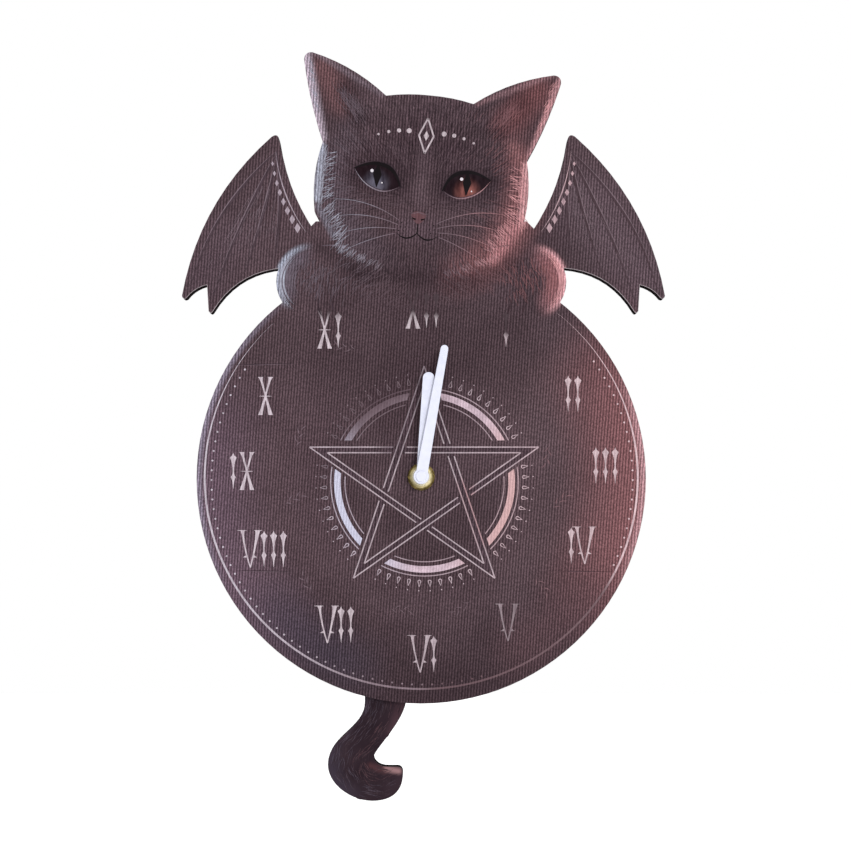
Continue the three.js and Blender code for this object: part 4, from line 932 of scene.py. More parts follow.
def numerals(name, rows, material):
    bm = bmesh.new()
    for letters, x, z in rows:
        pen = x - sum(ADVANCE[letter] for letter in letters) / 2
        for letter in letters:
            LETTERS[letter](bm, pen + ADVANCE[letter] / 2, z)
            pen += ADVANCE[letter]
    return printed(name, bm, material, level=2)


dial_numerals = numerals("dial_numerals", NUMERALS, ink_bright)
numerals("faint_numerals", FAINT_NUMERALS, ink_faint)
print("numerals", len(NUMERALS) + len(FAINT_NUMERALS), "faces", len(dial_numerals.data.polygons))

# %% [markdown]
# ## The woven star
# A five-pointed star is drawn with one endless band, edged by two fine lines, that passes over and under
# itself. Each side of the star is a chord between two tips. It goes under the first side it meets and over
# the second, and the lines of a side that goes under stop short on both sides of the crossing.

# %% Star
STAR_X = 1.3
STAR_Z = -2.9
STAR_TIP = 54.2
STAR_WIDE = 1.012
STAR_TALL = 0.985
BAND_W = 2.6
LINE_W = 0.58
CROSSING_GAP = 1.3
CROSSING_SHARE = 0.381966
TIP_TURN = 72
HALF_TIP = math.radians(18)
CROSSING = math.radians(TIP_TURN)
band_radius = STAR_TIP - BAND_W / 2 / math.sin(HALF_TIP)
tip_slide = BAND_W / 2 / math.tan(HALF_TIP)
star_middle = Vector((STAR_X, STAR_Z))


def star_tip(number):
    return star_middle + around(90 - TIP_TURN * number) * band_radius


bm, band = bmesh.new(), bmesh.new()
under_half = (BAND_W / 2 + LINE_W / 2 + CROSSING_GAP) / math.sin(CROSSING)
for tip in range(5):
    start, end = star_tip(tip), star_tip(tip + 2)
    along = (end - start).normalized()
    inwards = (star_middle - (start + end) / 2).normalized()
    length = (end - start).length
    under = length * CROSSING_SHARE
    stroke(band, start, end, (BAND_W, BAND_W), lift=0.1 * tip)
    for side in SIDES:
        shift = inwards * side * BAND_W / 2
        trim = side * tip_slide
        lean = side * BAND_W / 2 / math.tan(CROSSING)
        for low, high in ((trim, under - lean - under_half), (under - lean + under_half, length - trim)):
            first, second = start + shift + along * low, start + shift + along * high
            stroke(bm, first, second, (LINE_W, LINE_W), lift=0.2 * (low > trim))
spread = Matrix.Translation((-STAR_X * MM, 0, -STAR_Z * MM))
for shape in (bm, band):
    bmesh.ops.scale(shape, vec=(STAR_WIDE, 1, STAR_TALL), space=spread, verts=shape.verts)
printed("star_band", band, ink_band, level=2)
star = printed("star_lines", bm, ink_star, level=3)
print("star reaches", STAR_TIP, "mm, faces", len(star.data.polygons))

# %% [markdown]
# Behind the star lies a ring: one broad bright band between two fine lines. It is broken where the star's
# arms pass, and its ends are cut along the band of the star. Round it stand small drops, drawn in
# outline with a speck beyond each, which leave room for the five tips.

# %% Ring and drops
RING_MIDDLE = Vector((1.5, -2.4))
RING_BAND = (38.2, 41.2)
RING_LINES = ((36.0, 36.45), (42.45, 42.95))
RING_CLEAR = band_radius * math.cos(CROSSING) + BAND_W / 2 + 2.3
DROPS = 60
DROP_R = 45.3
SPECK_R = DROP_R + 4.2
TIP_CLEAR = 4.5


def ring_ink(name, pale, share, sunk=(-0.5, 0.87), sink=0.36, depth=0.92):
    """An ink that is cool on the left, warm on the right and sinks into the film at the upper left."""
    made, graph, shader = fresh(name)
    rows = (
        (42, 20, (-1, -0.3), 0.7, share, (200, 201, 222)),
        (42, 20, (1, -0.25), 0.6, share, (208, 168, 168)),
        (42, 20, sunk, sink, depth, (90, 73, 80)),
    )
    colour = arcs(graph, worn(graph, print_tone(*pale), 0.35), spot(*RING_MIDDLE), rows)
    ribbed(graph, shader, colour, 0.12)
    return made


def ring_part(bm, tip, inner, outer, steps=18):
    """The stretch of a ring after one tip of the star, its ends cut along the star's sides."""
    heading = 90 - TIP_TURN * (tip + 0.5)

    def edge(radius):
        half = math.degrees(math.acos(RING_CLEAR / radius)) - TIP_TURN / 2
        return lambda share: RING_MIDDLE + around(heading + half * (2 * share - 1)) * radius

    ribbon(bm, steps, edge(inner), edge(outer))


ring_pale = ring_ink("ring_pale", (218, 194, 206), 0.95)
ring_faint = ring_ink("ring_faint", (174, 154, 162), 0.25)
drop_ink = ring_ink("drop_ink", (200, 180, 188), 0.25, (-0.68, 0.73), 1.0, 0.97)
bm, fine = bmesh.new(), bmesh.new()
for tip in range(5):
    ring_part(bm, tip, *RING_BAND)
    for inner, outer in RING_LINES:
        ring_part(fine, tip, inner, outer)
printed("ring_band", bm, ring_pale, level=1)
printed("ring_lines", fine, ring_faint, level=1)

bm = bmesh.new()
half_turn = TIP_TURN / 2
for drop in range(DROPS):
    turn = 360 * (drop + 0.5) / DROPS
    if abs((turn - 90 + half_turn) % TIP_TURN - half_turn) < TIP_CLEAR:
        continue
    heading = around(turn)
    bead = RING_MIDDLE + heading * DROP_R
    sweep(bm, bead, 0.66, 0.42, turn + 40, turn + 320, 12)
    for side in SIDES:
        hip = bead + Vector((heading.y, -heading.x)) * side * 0.6 + heading * 0.3
        stroke(bm, hip, bead + heading * 2.4, (0.36, 0.2), lift=0.2 + 0.1 * side)
    disc(bm, *(RING_MIDDLE + heading * SPECK_R), 0.3, 6)
drops = printed("ring_drops", bm, drop_ink, level=1)
print("drops faces", len(drops.data.polygons))

# %% [markdown]
# The dial ends in a pale line with a row of beads inside it. Both are printed a little flatter than a true
# circle. The line thins out towards the paws, and line and beads sink into the film at the lower right.

# %% Border
BORDER = (0.0, -0.3)
BORDER_R = 98.6
BORDER_TALL = 0.976
BEAD_MIDDLE = Vector((0.4, -1.4))
BEAD_R = 95.9
BEAD_TALL = 0.971
BEADS = 132
bm = bmesh.new()
sweep(bm, BORDER, BORDER_R, 0.9, 133, 411, 160, taper=0.16, tall=BORDER_TALL)
printed("border_line", bm, ink_border, level=1)
bm = bmesh.new()
for bead in range(BEADS):
    turn = 360 * bead / BEADS
    if 36 < turn < 146 or 288 < turn < 334:
        continue
    disc(bm, *(BEAD_MIDDLE + around(turn, BEAD_TALL) * BEAD_R), 0.46, 8)
beads = printed("border_beads", bm, ink_border, level=1)
print("border beads, faces", len(beads.data.polygons))

# %% [markdown]
# The film kept a few faint level creases from the press, each drawn as a dark line of painted shade with
# a paler line of painted highlight under it, and small sprigs of leaves lie in the plum, hardly paler than
# it.

# %% Creases and sprigs
CREASES = (((-87, 51.0), (-58, 51.8)), ((-84, -42.6), (-58, -43.0)), ((58, -42.8), (88, -43.2)))
CREASE_SHADOW = [(0, 0.06), (0.4, 0.5), (1, 0.06)]
CREASE_LIGHT = [(0, 0.03), (0.6, 0.2), (1, 0.03)]
SPRIGS = (
    (-62, -12), (-57, 14), (-50, -52), (-30, 58), (22, -57),
    (58, 14), (52, -46), (-14, -60), (60, -14),
)
LEAF = [(0, 0.05), (0.4, 0.5), (1, 0.04)]
LEAF_STEP = 1.9
under = Vector((0, -0.32))
dark, pale = bmesh.new(), bmesh.new()
# Each crease is a painted shade line in dark ink with a painted highlight line just under it.
for start, end in CREASES:
    stroke(dark, start, end, CREASE_SHADOW, 8)
    stroke(pale, Vector(start) + under, Vector(end) + under, CREASE_LIGHT, 8)
for number, place in enumerate(SPRIGS):
    heading = around(25 + 47 * number)
    for leaf in range(5):
        across = Vector((-heading.y, heading.x)) * (1 if leaf % 2 else -1)
        base = Vector(place) + heading * leaf * LEAF_STEP
        stroke(pale, base, base + heading * 3.0 + across * 2.0, LEAF, 6, bow=0.4, lift=0.1 * leaf)
printed("crease_shadows", dark, ink_dark, level=1)
printed("crease_lights", pale, crease_highlight_and_leaf_ink, level=1)
print("creases", len(CREASES), "sprigs", len(SPRIGS))

# %% [markdown]
# ## The cat's face
# The head carries a plain cat's face in the same dusky colours: two almond eyes with slit pupils, a small
# nose, a mouth, whiskers, and a lozenge between dots on the brow. The features stand where a drawing book
# puts them: eyes on the middle line, a third of the head apart. They are drawn on an upright head, and
# `tilt` carries the finished bmesh to where the tilted head is.

# %% Face helpers and finishes
EYE_X = 20.5
EYE_Z = -2.0
EYE_HALF = 10.8
EYE_TURN = math.radians(17)


def tilt(bm):
    """Moves shapes drawn about the upright head's middle to the tilted head on the board."""
    turn = Matrix.Rotation(-HEAD_TILT, 4, "Y")
    shift = Matrix.Translation((HEAD.x * MM, 0, HEAD.y * MM))
    bmesh.ops.transform(bm, matrix=shift @ turn, verts=bm.verts)


def face_print(name, material, level, draw):
    """Prints on the tilted head what a function draws on either side of the upright one."""
    bm = bmesh.new()
    for side in SIDES:
        draw(bm, side)
    tilt(bm)
    return printed(name, bm, material, level)


def eye_place(side, x, z):
    """A place in an eye, x towards the ear, turned so that the outer corner is the higher."""
    turned = Matrix.Rotation(EYE_TURN, 2) @ Vector((x, z))
    return Vector((side * (EYE_X + turned.x), EYE_Z + turned.y))


def lid(side, rise, swell=0.0):
    """An eyelid's curve from the inner corner to the outer one."""

    def place(share):
        across = 2 * share - 1
        arch = (1 - abs(across) ** 2.3) * (1 - 0.18 * across)
        return eye_place(side, across * (EYE_HALF + swell), rise * arch)

    return place


def eye_finish():
    """Dark eyes that are paler low down, round the slit: cool in the left eye, rose in the right."""
    made, graph, shader = fresh("eye_print")
    grain = graph.group(fine_grain, Scale=500.0, Detail=3.0, Stretch=(1, 1, 0.4))
    colour = graph.mix(grain, print_tone(34, 25, 29), print_tone(44, 33, 38))
    for side, dark, light in ((-1, (66, 63, 76), (122, 118, 134)), (1, (98, 58, 56), (166, 104, 97))):
        low = eye_place(side, -0.5, -2.6)
        glow = stroke_glow(graph, head_spot(*low), head_spot(*low), 7.6)
        iris = graph.mix(grain, print_tone(*dark), print_tone(*light))
        colour = graph.mix(graph.math("MULTIPLY", glow, 0.95), colour, iris)
    coat(graph, shader, colour, grain, (0.26, 0.36), FILM_GLOSS)
    return made


eye_print = eye_finish()
fur_rim = ink("fur_rim", (176, 178, 194), (124, 106, 114), (226, 164, 167), veiled=False, reach=46)
fur_soft = ink("fur_soft", (112, 103, 114), (96, 79, 85), (142, 94, 96), veiled=False, reach=56)
nose_print = ink("nose_print", (112, 80, 84), (104, 72, 76), (112, 74, 77), veiled=False)
SMOOTH_PRINT = {"scale": 300, "depth": 0.005, "gloss": FILM_GLOSS}
pupil_black = finish("pupil_black", (14, 10, 12), (22, 17, 20), 0.5, **SMOOTH_PRINT)
glint = finish("glint", (196, 190, 196), (214, 208, 214), 0.5, **SMOOTH_PRINT)
print("eyes", 2 * EYE_X, "mm apart")

# %% [markdown]
# An eye is a stack of flat shapes between two lid curves: a dark socket, the eye, the slit with the shadow
# of the upper lid, two glints, and a pale rim under it. Each is drawn once and printed on both sides.

# %% Eyes
SLIT = [(0, 0.4), (0.45, 4.0), (1, 0.3)]


def socket(bm, side):
    ribbon(bm, 28, lid(side, -5.2, 1.4), lid(side, 7.6, 1.4))


def eye(bm, side):
    ribbon(bm, 28, lid(side, -4.6), lid(side, 6.4))


def pupil(bm, side):
    stroke(bm, (side * EYE_X, EYE_Z + 6.2), (side * EYE_X, EYE_Z - 4.4), SLIT, 16)
    ribbon(bm, 28, lid(side, 5.4), lid(side, 7.2, 0.8), lift=0.3)


def glints(bm, side):
    middle = eye_place(side, 0, 0)
    disc(bm, middle.x - 2.6, middle.y + 2.9, 0.75, 12)
    disc(bm, middle.x + 2.4, middle.y - 2.2, 0.35, 8)


def eye_rim(bm, side):
    ribbon(bm, 24, lid(side, -5.5, 0.3), lid(side, -4.9, 0.3))


face_print("eye_sockets", ink_dark, 2, socket)
eyes = face_print("eyes", eye_print, 3, eye)
face_print("eye_pupils", pupil_black, 4, pupil)
face_print("eye_glints", glint, 5, glints)
face_print("eye_rims", fur_rim, 4, eye_rim)
print("eyes, faces", len(eyes.data.polygons))

# %% [markdown]
# The nose is a circle that narrows towards its foot. The mouth's two halves curl up, whiskers fan out from
# the muzzle's specks, and the dots on the brow grow smaller towards the ears.

# %% Nose, mouth, whiskers and brow
NOSE_Z = -18.5
NOSE_HALF = (4.6, 2.9)
MOUTH_Z = -25.5
MOUTH_LINE = [(0, 0.55), (0.6, 0.7), (1, 0.1)]
WHISKER = [(0, 0.3), (0.4, 0.34), (1, 0.06)]
BROW_Z = 19.0
LOZENGE = (3.4, 8)
bm = bmesh.new()
made = bmesh.ops.create_circle(bm, cap_ends=True, segments=28, radius=1)
for vert in made["verts"]:
    wide = 0.66 + 0.34 * vert.co.y
    vert.co = (NOSE_HALF[0] * wide * vert.co.x * MM, 0, (NOSE_Z + NOSE_HALF[1] * vert.co.y) * MM)
tilt(bm)
printed("nose", bm, nose_print, level=3)

bm = bmesh.new()
stroke(bm, (0, NOSE_Z - 2.6), (0, MOUTH_Z), (0.5, 0.5))
for side in SIDES:
    stroke(bm, (0, MOUTH_Z), (side * 9.5, MOUTH_Z - 0.6), MOUTH_LINE, 12, bow=-side * 2.4, lift=0.3)
    stroke(bm, (side * 1.2, NOSE_Z - 0.9), (side * 3.0, NOSE_Z - 0.2), (0.9, 0.3), lift=0.5)
    for row in range(3):
        for speck in range(3 - row % 2):
            disc(bm, side * (5.0 + 2.3 * speck + row * 0.6), MOUTH_Z + 4.2 - 1.9 * row, 0.28, 6, lift=0.4)
tilt(bm)
printed("mouth", bm, pupil_black, level=4)


def whiskers(bm, side):
    stroke(bm, (0, NOSE_Z + 2.7), (side * 4.4, NOSE_Z + 2.1), (0.35, 0.1), 6, bow=-side * 0.5)
    for row in range(4):
        start = (side * (8.5 + row * 0.5), MOUTH_Z + 5.0 - 2.0 * row)
        end = (side * (39 - row * 2.5), MOUTH_Z + 12 - 7.5 * row)
        stroke(bm, start, end, WHISKER, 14, bow=side * (2.6 - row * 0.6), lift=0.2 * row)


face_print("whiskers", fur_rim, 5, whiskers)
bm = bmesh.new()
for side in SIDES:
    corner = (side * LOZENGE[0], BROW_Z)
    stroke(bm, (0, BROW_Z + LOZENGE[1]), corner, (0.75, 0.75), lift=0.2)
    stroke(bm, corner, (0, BROW_Z - LOZENGE[1]), (0.75, 0.75))
    for row in range(4):
        disc(bm, side * (8.0 + 4.6 * row), BROW_Z + 1.6 - 0.32 * row * row, 1.15 - 0.2 * row, 12)
disc(bm, 0, BROW_Z, 1.2, 4, tall=1.9)
tilt(bm)
brow = printed("brow_mark", bm, ink_bright, level=3)
print("brow, faces", len(brow.data.polygons))

# %% [markdown]
# ## Fur
# Fur is some two thousand tapered hairs, each a narrow ribbon. They lie outwards from the nose, denser and
# paler along the lit cheeks, ears and jaw. The random draws are seeded, so the fur is the same each time.
# A ray cast at the film tells whether a hair's end is still on the board.

# %% Fur helpers
random.seed(7)


def tree_of(made):
    """A piece's faces, sorted so that rays can be cast at them."""
    places = [vert.co for vert in made.data.vertices]
    return BVHTree.FromPolygons(places, [list(face.vertices) for face in made.data.polygons])


face_tree, tail_tree = tree_of(face_film), tree_of(tail_film)


def on_film(point, tree=face_tree):
    """Whether the film lies behind a place given in millimetres."""
    return tree.ray_cast(Vector((point[0] * MM, -1, point[1] * MM)), Vector((0, 1, 0)))[0] is not None


def hair(bm, root, heading, length, width, tree=face_tree):
    """One hair from its root, left out where it would leave the film."""
    aim = Vector(heading).normalized()
    tip = Vector(root) + aim * length
    if on_film(root, tree) and on_film(tip + aim * 0.7, tree):
        bow = random.uniform(-0.12, 0.12) * length
        stroke(bm, root, tip, [(0, 0.08), (0.3, width), (1, 0.05)], 3, bow, lift=random.random())


def stray(most):
    """A small random shift."""
    return Vector((random.uniform(-most, most), random.uniform(-most, most)))


def hairs_along(bm, start, end, count, heading, length, width, depth):
    """Hairs rooted in a band along a line, all lying about the same way."""
    for _ in range(count):
        root = Vector(start).lerp(Vector(end), random.random()) + stray(depth)
        lie = Vector(heading).normalized() + stray(0.35)
        hair(bm, root, lie, length * random.uniform(0.6, 1.2), width * random.uniform(0.6, 1.2))


print("film tree ready")

# %% [markdown]
# Short hairs cover the head but leave its features clear. Longer ones fill the ears and the chest, and the
# lit bands lie along the cheeks, the ears' outer edges and the jaw, given for the right side and mirrored.

# %% Hairs on the head, ears and chest
FUR_HALF = (45, 38)
FUR_Z = -4
EYE_CLEAR = (13.5, 8.5)
EAR_TUFT = ((29, 25), (38, 32), 70, (0.7, 1), 8, 0.2, 3)
CHEST = (
    ((8, 84), (34, 96), 130, (0.6, -0.5), 5, 0.22, 7),
    ((40, 88), (56, 96), 120, (0.3, -1), 4.5, 0.2, 7),
)
LIT_BANDS = (
    ((45.5, 12), (45.5, -16), 110, (0.4, -0.9), 5, 0.18, 1.4),
    ((41, 8), (41, -12), 34, (0.9, -0.3), 6.5, 0.24, 2),
    ((41, -12), (31, -31), 46, (0.8, -0.65), 6.5, 0.22, 2),
    ((50, 22), (56, 48), 80, (0.5, 0.6), 4, 0.17, 1.4),
    ((36, -32), (14, -42), 60, (0.6, -0.8), 4, 0.2, 1.2),
)


def flipped(side, place):
    return (side * place[0], place[1])


def hair_band(bm, side, row, upon_head=True):
    """Hairs along a band given for the right side, laid on one side of the head or of the chest."""
    start, end, count, heading, *sizes = row
    ends = [flipped(side, place) for place in (start, end)]
    if upon_head:
        ends = [on_head(*place) for place in ends]
    hairs_along(bm, *ends, count, flipped(side, heading), *sizes)


def head_hairs(bm, count, length, width):
    """Hairs all over the head, lying outwards from the nose, clear of the drawn features."""
    for _ in range(count):
        angle = random.uniform(0, 2 * math.pi)
        share = math.sqrt(random.uniform(0.05, 1.0))
        x, z = FUR_HALF[0] * share * math.cos(angle), FUR_Z + FUR_HALF[1] * share * math.sin(angle)
        near_eye = ((abs(x) - EYE_X) / EYE_CLEAR[0]) ** 2 + ((z - EYE_Z - 1) / EYE_CLEAR[1]) ** 2 < 1
        near_brow = abs(x) < 26 and abs(z - BROW_Z) < 7
        near_mouth = abs(x) < 11 and MOUTH_Z - 4 < z < NOSE_Z + 5
        if not (near_eye or near_mouth or near_brow):
            lie = Vector((x * 0.9, z + 16)).normalized() + Vector((0, -0.5 if z < -5 else 0.1))
            lie = Matrix.Rotation(HEAD_TILT, 2) @ lie
            hair(bm, on_head(x, z), lie, length * random.uniform(0.8, 2.0), width)


bm = bmesh.new()
head_hairs(bm, 1100, 3.2, 0.2)
for side in SIDES:
    hair_band(bm, side, EAR_TUFT)
    for row in CHEST:
        hair_band(bm, side, row, upon_head=False)
printed("fur_soft_hairs", bm, fur_soft, level=1)

bm = bmesh.new()
head_hairs(bm, 600, 3.0, 0.26)
printed("fur_dark_hairs", bm, ink_dark, level=1)

bm = bmesh.new()
for side in SIDES:
    for row in LIT_BANDS:
        hair_band(bm, side, row)
rim_hairs = printed("fur_rim_hairs", bm, fur_rim, level=2)
print("hairs, faces", len(rim_hairs.data.polygons))

# %% [markdown]
# The paws lie over the top of the dial. Brush strokes follow the round of each paw, the bright ones near
# its edge and softer ones inside, two dark lines part the toes, and one stroke draws the foreleg above.

# %% Paws
FORELEG = [(0, 0.05), (0.7, 0.7), (1, 0.1)]
TOE_LINE = [(0, 0.1), (0.6, 0.8), (1, 0.3)]


def paw_strokes(bm, side, count, outer, inner, width):
    """Tapered strokes round the outer side of a paw, shorter the further in they lie."""
    for number in range(count):
        share = number / count
        radius = outer + (inner - outer) * share + random.uniform(-0.2, 0.2)
        top = 108 + 24 * share + random.uniform(-8, 8)
        foot = 232 - 12 * share + random.uniform(-10, 10)
        ends = (top, foot) if side < 0 else (180 - foot, 180 - top)
        thick = width * random.uniform(0.6, 1.2)
        sweep(bm, (side * PAW_X, PAW_Z), radius, thick, *ends, 24, 0.5, lift=0.1 * number)


bright, soft, dark = bmesh.new(), bmesh.new(), bmesh.new()
for side in SIDES:
    paw_strokes(bright, side, 9, 15.9, 13.4, 0.42)
    paw_strokes(soft, side, 14, 15.0, 8.0, 0.36)
    stroke(soft, (side * 25, 101), (side * 45, 105.4), FORELEG, 16, side * 1.6)
    for toe in range(2):
        x = side * (PAW_X - 2.0 - 6.4 * toe)
        low = (x - side * 1.6, PAW_Z - 15.4 + 0.8 * toe)
        stroke(dark, (x, PAW_Z - 7.5), low, TOE_LINE, 12, side * 0.7)
printed("paw_soft_strokes", soft, fur_soft, level=2)
printed("paw_toes", dark, ink_dark, level=3)
paws = printed("paw_bright_strokes", bright, fur_rim, level=4)
print("paws, faces", len(paws.data.polygons))

# %% [markdown]
# The tail's hairs lie along its curve. Each takes its place and its heading from a line down the middle of
# the tail and then moves sideways: cool hairs on the outside of the curl, reddish ones on the inside.

# %% Hairs on the tail
TAIL_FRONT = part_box("tail_film")[0].y
TAIL_UPPER = ((-16, -98), (-17.5, -108), (-23, -116), (-30.5, -124))
TAIL_LOWER = ((-32.5, -132), (-28.5, -139.5), (-20, -142), (-11, -138))
middles = [Vector(place) for place in TAIL_UPPER + TAIL_LOWER]


def tail_hairs(name, material, level, count, low, high, width):
    bm = bmesh.new()
    for _ in range(count):
        way = random.uniform(0, len(middles) - 1.001)
        first, second = middles[int(way)], middles[int(way) + 1]
        along = (second - first).normalized()
        root = first.lerp(second, way % 1) + Vector((-along.y, along.x)) * random.uniform(low, high)
        turn = Matrix.Rotation(random.uniform(-0.16, 0.16), 2)
        hair(bm, root, turn @ along, random.uniform(3, 7), width, tail_tree)
    return printed(name, bm, material, level, TAIL_FRONT + 0.1 * MM, TAIL_FRONT, "tail")


fur_cool = ink("fur_cool", (96, 90, 104), (76, 68, 79), (80, 74, 88), veiled=False)
fur_rose = ink("fur_rose", (92, 68, 73), (88, 64, 69), (88, 64, 69), veiled=False)
tail_hairs("tail_dark_hairs", ink_dark, 1, 260, -9.5, 8, 0.3)
tail_hairs("tail_rose_hairs", fur_rose, 2, 46, 1.0, 6.5, 0.18)
cool_hairs = tail_hairs("tail_cool_hairs", fur_cool, 3, 120, -9.8, 0.0, 0.2)
print("tail hairs, faces", len(cool_hairs.data.polygons))

# %% [markdown]
# ## Wings
# The wings are webs of skin between long fingers. Four fingers run from each tip to the points of the
# lower edge, each a dark groove with a pale line beside it. A row of lozenges that grow smaller and a fine
# line follow the front edge, and faint streaks fall down the web.

# %% Wing print
WING_TIP = (66.3, 148.5)
WING_SHIFT = 1.0
FINGERS = (((106.6, 84.3), -6.0), ((96.6, 78.9), -2.0), ((81.0, 93.5), 0.8), ((67.5, 99.0), 1.5))
GROOVE = [(0, 0.5), (0.3, 1.5), (1, 0.3)]
VEIN = [(0, 0.05), (0.35, 0.5), (0.8, 0.1), (1, 0.03)]
STREAKS = 60
EDGE_FOOT = (53.5, 111.5)
EDGE_HEAD = (67.2, 148.0)
EDGE_BOW = 2.6
EDGE_LINE = [(0, 0.1), (0.5, 0.6), (1, 0.1)]


def on_wing(side, x, z):
    return Vector((WING_SHIFT + side * x, z))


grooves, veins = bmesh.new(), bmesh.new()
for side in SIDES:
    for number, (foot, bow) in enumerate(FINGERS):
        start = on_wing(side, WING_TIP[0], WING_TIP[1] - number)
        end = on_wing(side, *foot)
        stroke(grooves, start, end, GROOVE, 16, -side * bow, lift=0.2 * number)
        beside = (start + Vector((side * 0.7, 0)), end + Vector((side * 0.9, 0)))
        stroke(veins, *beside, VEIN, 16, -side * bow)
    for _ in range(STREAKS):
        share = random.random()
        foot = Vector(FINGERS[3][0]).lerp(Vector(FINGERS[0][0]), share)
        top = Vector(WING_TIP).lerp(foot, random.uniform(0.25, 0.8))
        fall = (foot - top) * random.uniform(0.12, 0.35)
        if on_film(top) and on_film(top + fall):
            first, second = on_wing(side, *top), on_wing(side, *(top + fall))
            stroke(veins, first, second, (0.16, 0.04), 2, lift=0.2 + random.random())
printed("wing_grooves", grooves, groove_ink, level=1)
printed("wing_veins", veins, vein_ink, level=2)

bm = bmesh.new()
for side in SIDES:
    foot, head = on_wing(side, *EDGE_FOOT), on_wing(side, *EDGE_HEAD)
    across = Vector((-(head - foot).y, (head - foot).x)).normalized()
    stroke(bm, foot, head, EDGE_LINE, 20, bow=-side * EDGE_BOW)
    for mark in range(8):
        share = 0.08 + 0.115 * mark
        middle = foot.lerp(head, share) - across * side * (EDGE_BOW * 4 * share * (1 - share) + 2.2)
        disc(bm, middle.x, middle.y, 1.4 - 0.11 * mark, 4, tall=1.7)
marks = printed("wing_marks", bm, ink_line, level=3)
print("wing marks, faces", len(marks.data.polygons))

# %% [markdown]
# ## Hands
# The hands are plain white bars, moulded with rounded edges, and the minute hand has a small domed cap.
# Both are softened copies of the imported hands, so they stay on their arbors.

# %% Hands
minute_hand = softened("minute_hand", 0.38 * MM, hand_white, "minute", "hand_white", 3)
# The hour hand's hub carries a painted reflection of the brass near the axis.
hour_hand = softened("hour_hand", 0.38 * MM, hour_white_and_reflection, "hour", "hand_white", 3)
print("hand faces", len(minute_hand.data.polygons), len(hour_hand.data.polygons))

# %% [markdown]
# ## Bush, washer and nut
# A brass bush comes through the board and is held by a washer and a hexagon nut.

# %% Brass parts
# Their brass carries a painted highlight near the hand axis and painted shade further out.
for node, width in (("bush_nut", 0.35), ("bush_washer", 0.12), ("threaded_bush", 0.15)):
    made = softened(node, width * MM, brass, BODY, "brass")
    print(made.name, "faces", len(made.data.polygons))

# %% [markdown]
# ## Movement case
# The movement's case and its back cover are moulded in black plastic with a fine spark-eroded grain. Such a
# cover has a raised rim round its edge and round each opening, which an inset of the back face gives in one
# step. Four snap hooks on the sides hold the cover on.

# %% Case and cover
COVER_RIM = 0.55 * MM
COVER_DIP = 0.45 * MM
softened("movement_case", 0.5 * MM, case_black, BODY, "case_black")
bm = merged("back_cover")
rear = [face for face in bm.faces if face.normal.y > 0.9 and face.calc_center_median().y > -0.05 * MM]
bmesh.ops.inset_region(bm, faces=rear, thickness=COVER_RIM, depth=-COVER_DIP, use_even_offset=True)
round_edges(bm, 0.1 * MM, 2)
cover = even(keep("back_cover_skin", bm, [case_black], BODY, "case_black", "back_cover"))

HOOK_W = 6.0 * MM
HOOK_H = 0.7 * MM
HOOK_L = 3.4 * MM
HOOK_Y = -4.2 * MM
HOOK_SLANT = 0.8 * HOOK_H
case_low, case_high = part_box("movement_case")
bm = bmesh.new()
for side in (case_low.x, case_high.x):
    for z in (14.0, -48.0):
        made = bmesh.ops.create_cube(bm, size=1)["verts"]
        bmesh.ops.scale(bm, vec=(2 * HOOK_H, HOOK_L, HOOK_W), verts=made)
        bmesh.ops.translate(bm, vec=(side, HOOK_Y, z * MM), verts=made)
        for vert in made:
            if vert.co.y < HOOK_Y:
                vert.co.x += HOOK_SLANT if side < 0 else -HOOK_SLANT
round_edges(bm, 0.2 * MM, 2)
hooks = even(keep("cover_hooks", bm, [case_black], BODY, "case_black"))
print("cover faces", len(cover.data.polygons), "hooks", len(hooks.data.polygons))

# %% [markdown]
# Moulded signs tell how to use the movement: a plus and a minus under the battery, and two arrows round the
# knob that sets the hands. They stand up from the floor of the cover and stay below its rim.

# %% Signs on the cover
SIGN_FLOOR = -0.6 * MM
SIGN_TOP = -0.12 * MM
KNOB = Vector((5.5, 9.53))
ARROW_R = 11.2
ARROW_TURN = 110
SIGN_X = 22.0
SIGN_Z = -31.5
SIGN_HALF = 2.5
SIGN_W = (1.1, 1.1)
bm = bmesh.new()
for middle in (SIGN_X, -SIGN_X):
    stroke(bm, (middle - SIGN_HALF, SIGN_Z), (middle + SIGN_HALF, SIGN_Z), SIGN_W)
stroke(bm, (SIGN_X, SIGN_Z - SIGN_HALF), (SIGN_X, SIGN_Z + SIGN_HALF), SIGN_W, lift=0.3)
for start in (20, 200):
    end = start + ARROW_TURN
    sweep(bm, KNOB, ARROW_R, 0.9, start, end, 20)
    root = KNOB + around(end) * ARROW_R
    stroke(bm, root, root + around(end + 90) * 3.0, (3.0, 0.1), lift=0.3)
signs = printed("cover_signs", bm, case_black, 0, SIGN_FLOOR, SIGN_TOP, BODY, "case_black")
print("signs faces", len(signs.data.polygons))

# %% [markdown]
# The setting knob is a small dished wheel with a fluted edge and a grip across its face. It starts as a
# circle with every other point drawn in, is pulled to its depth and then inset twice for the dish.

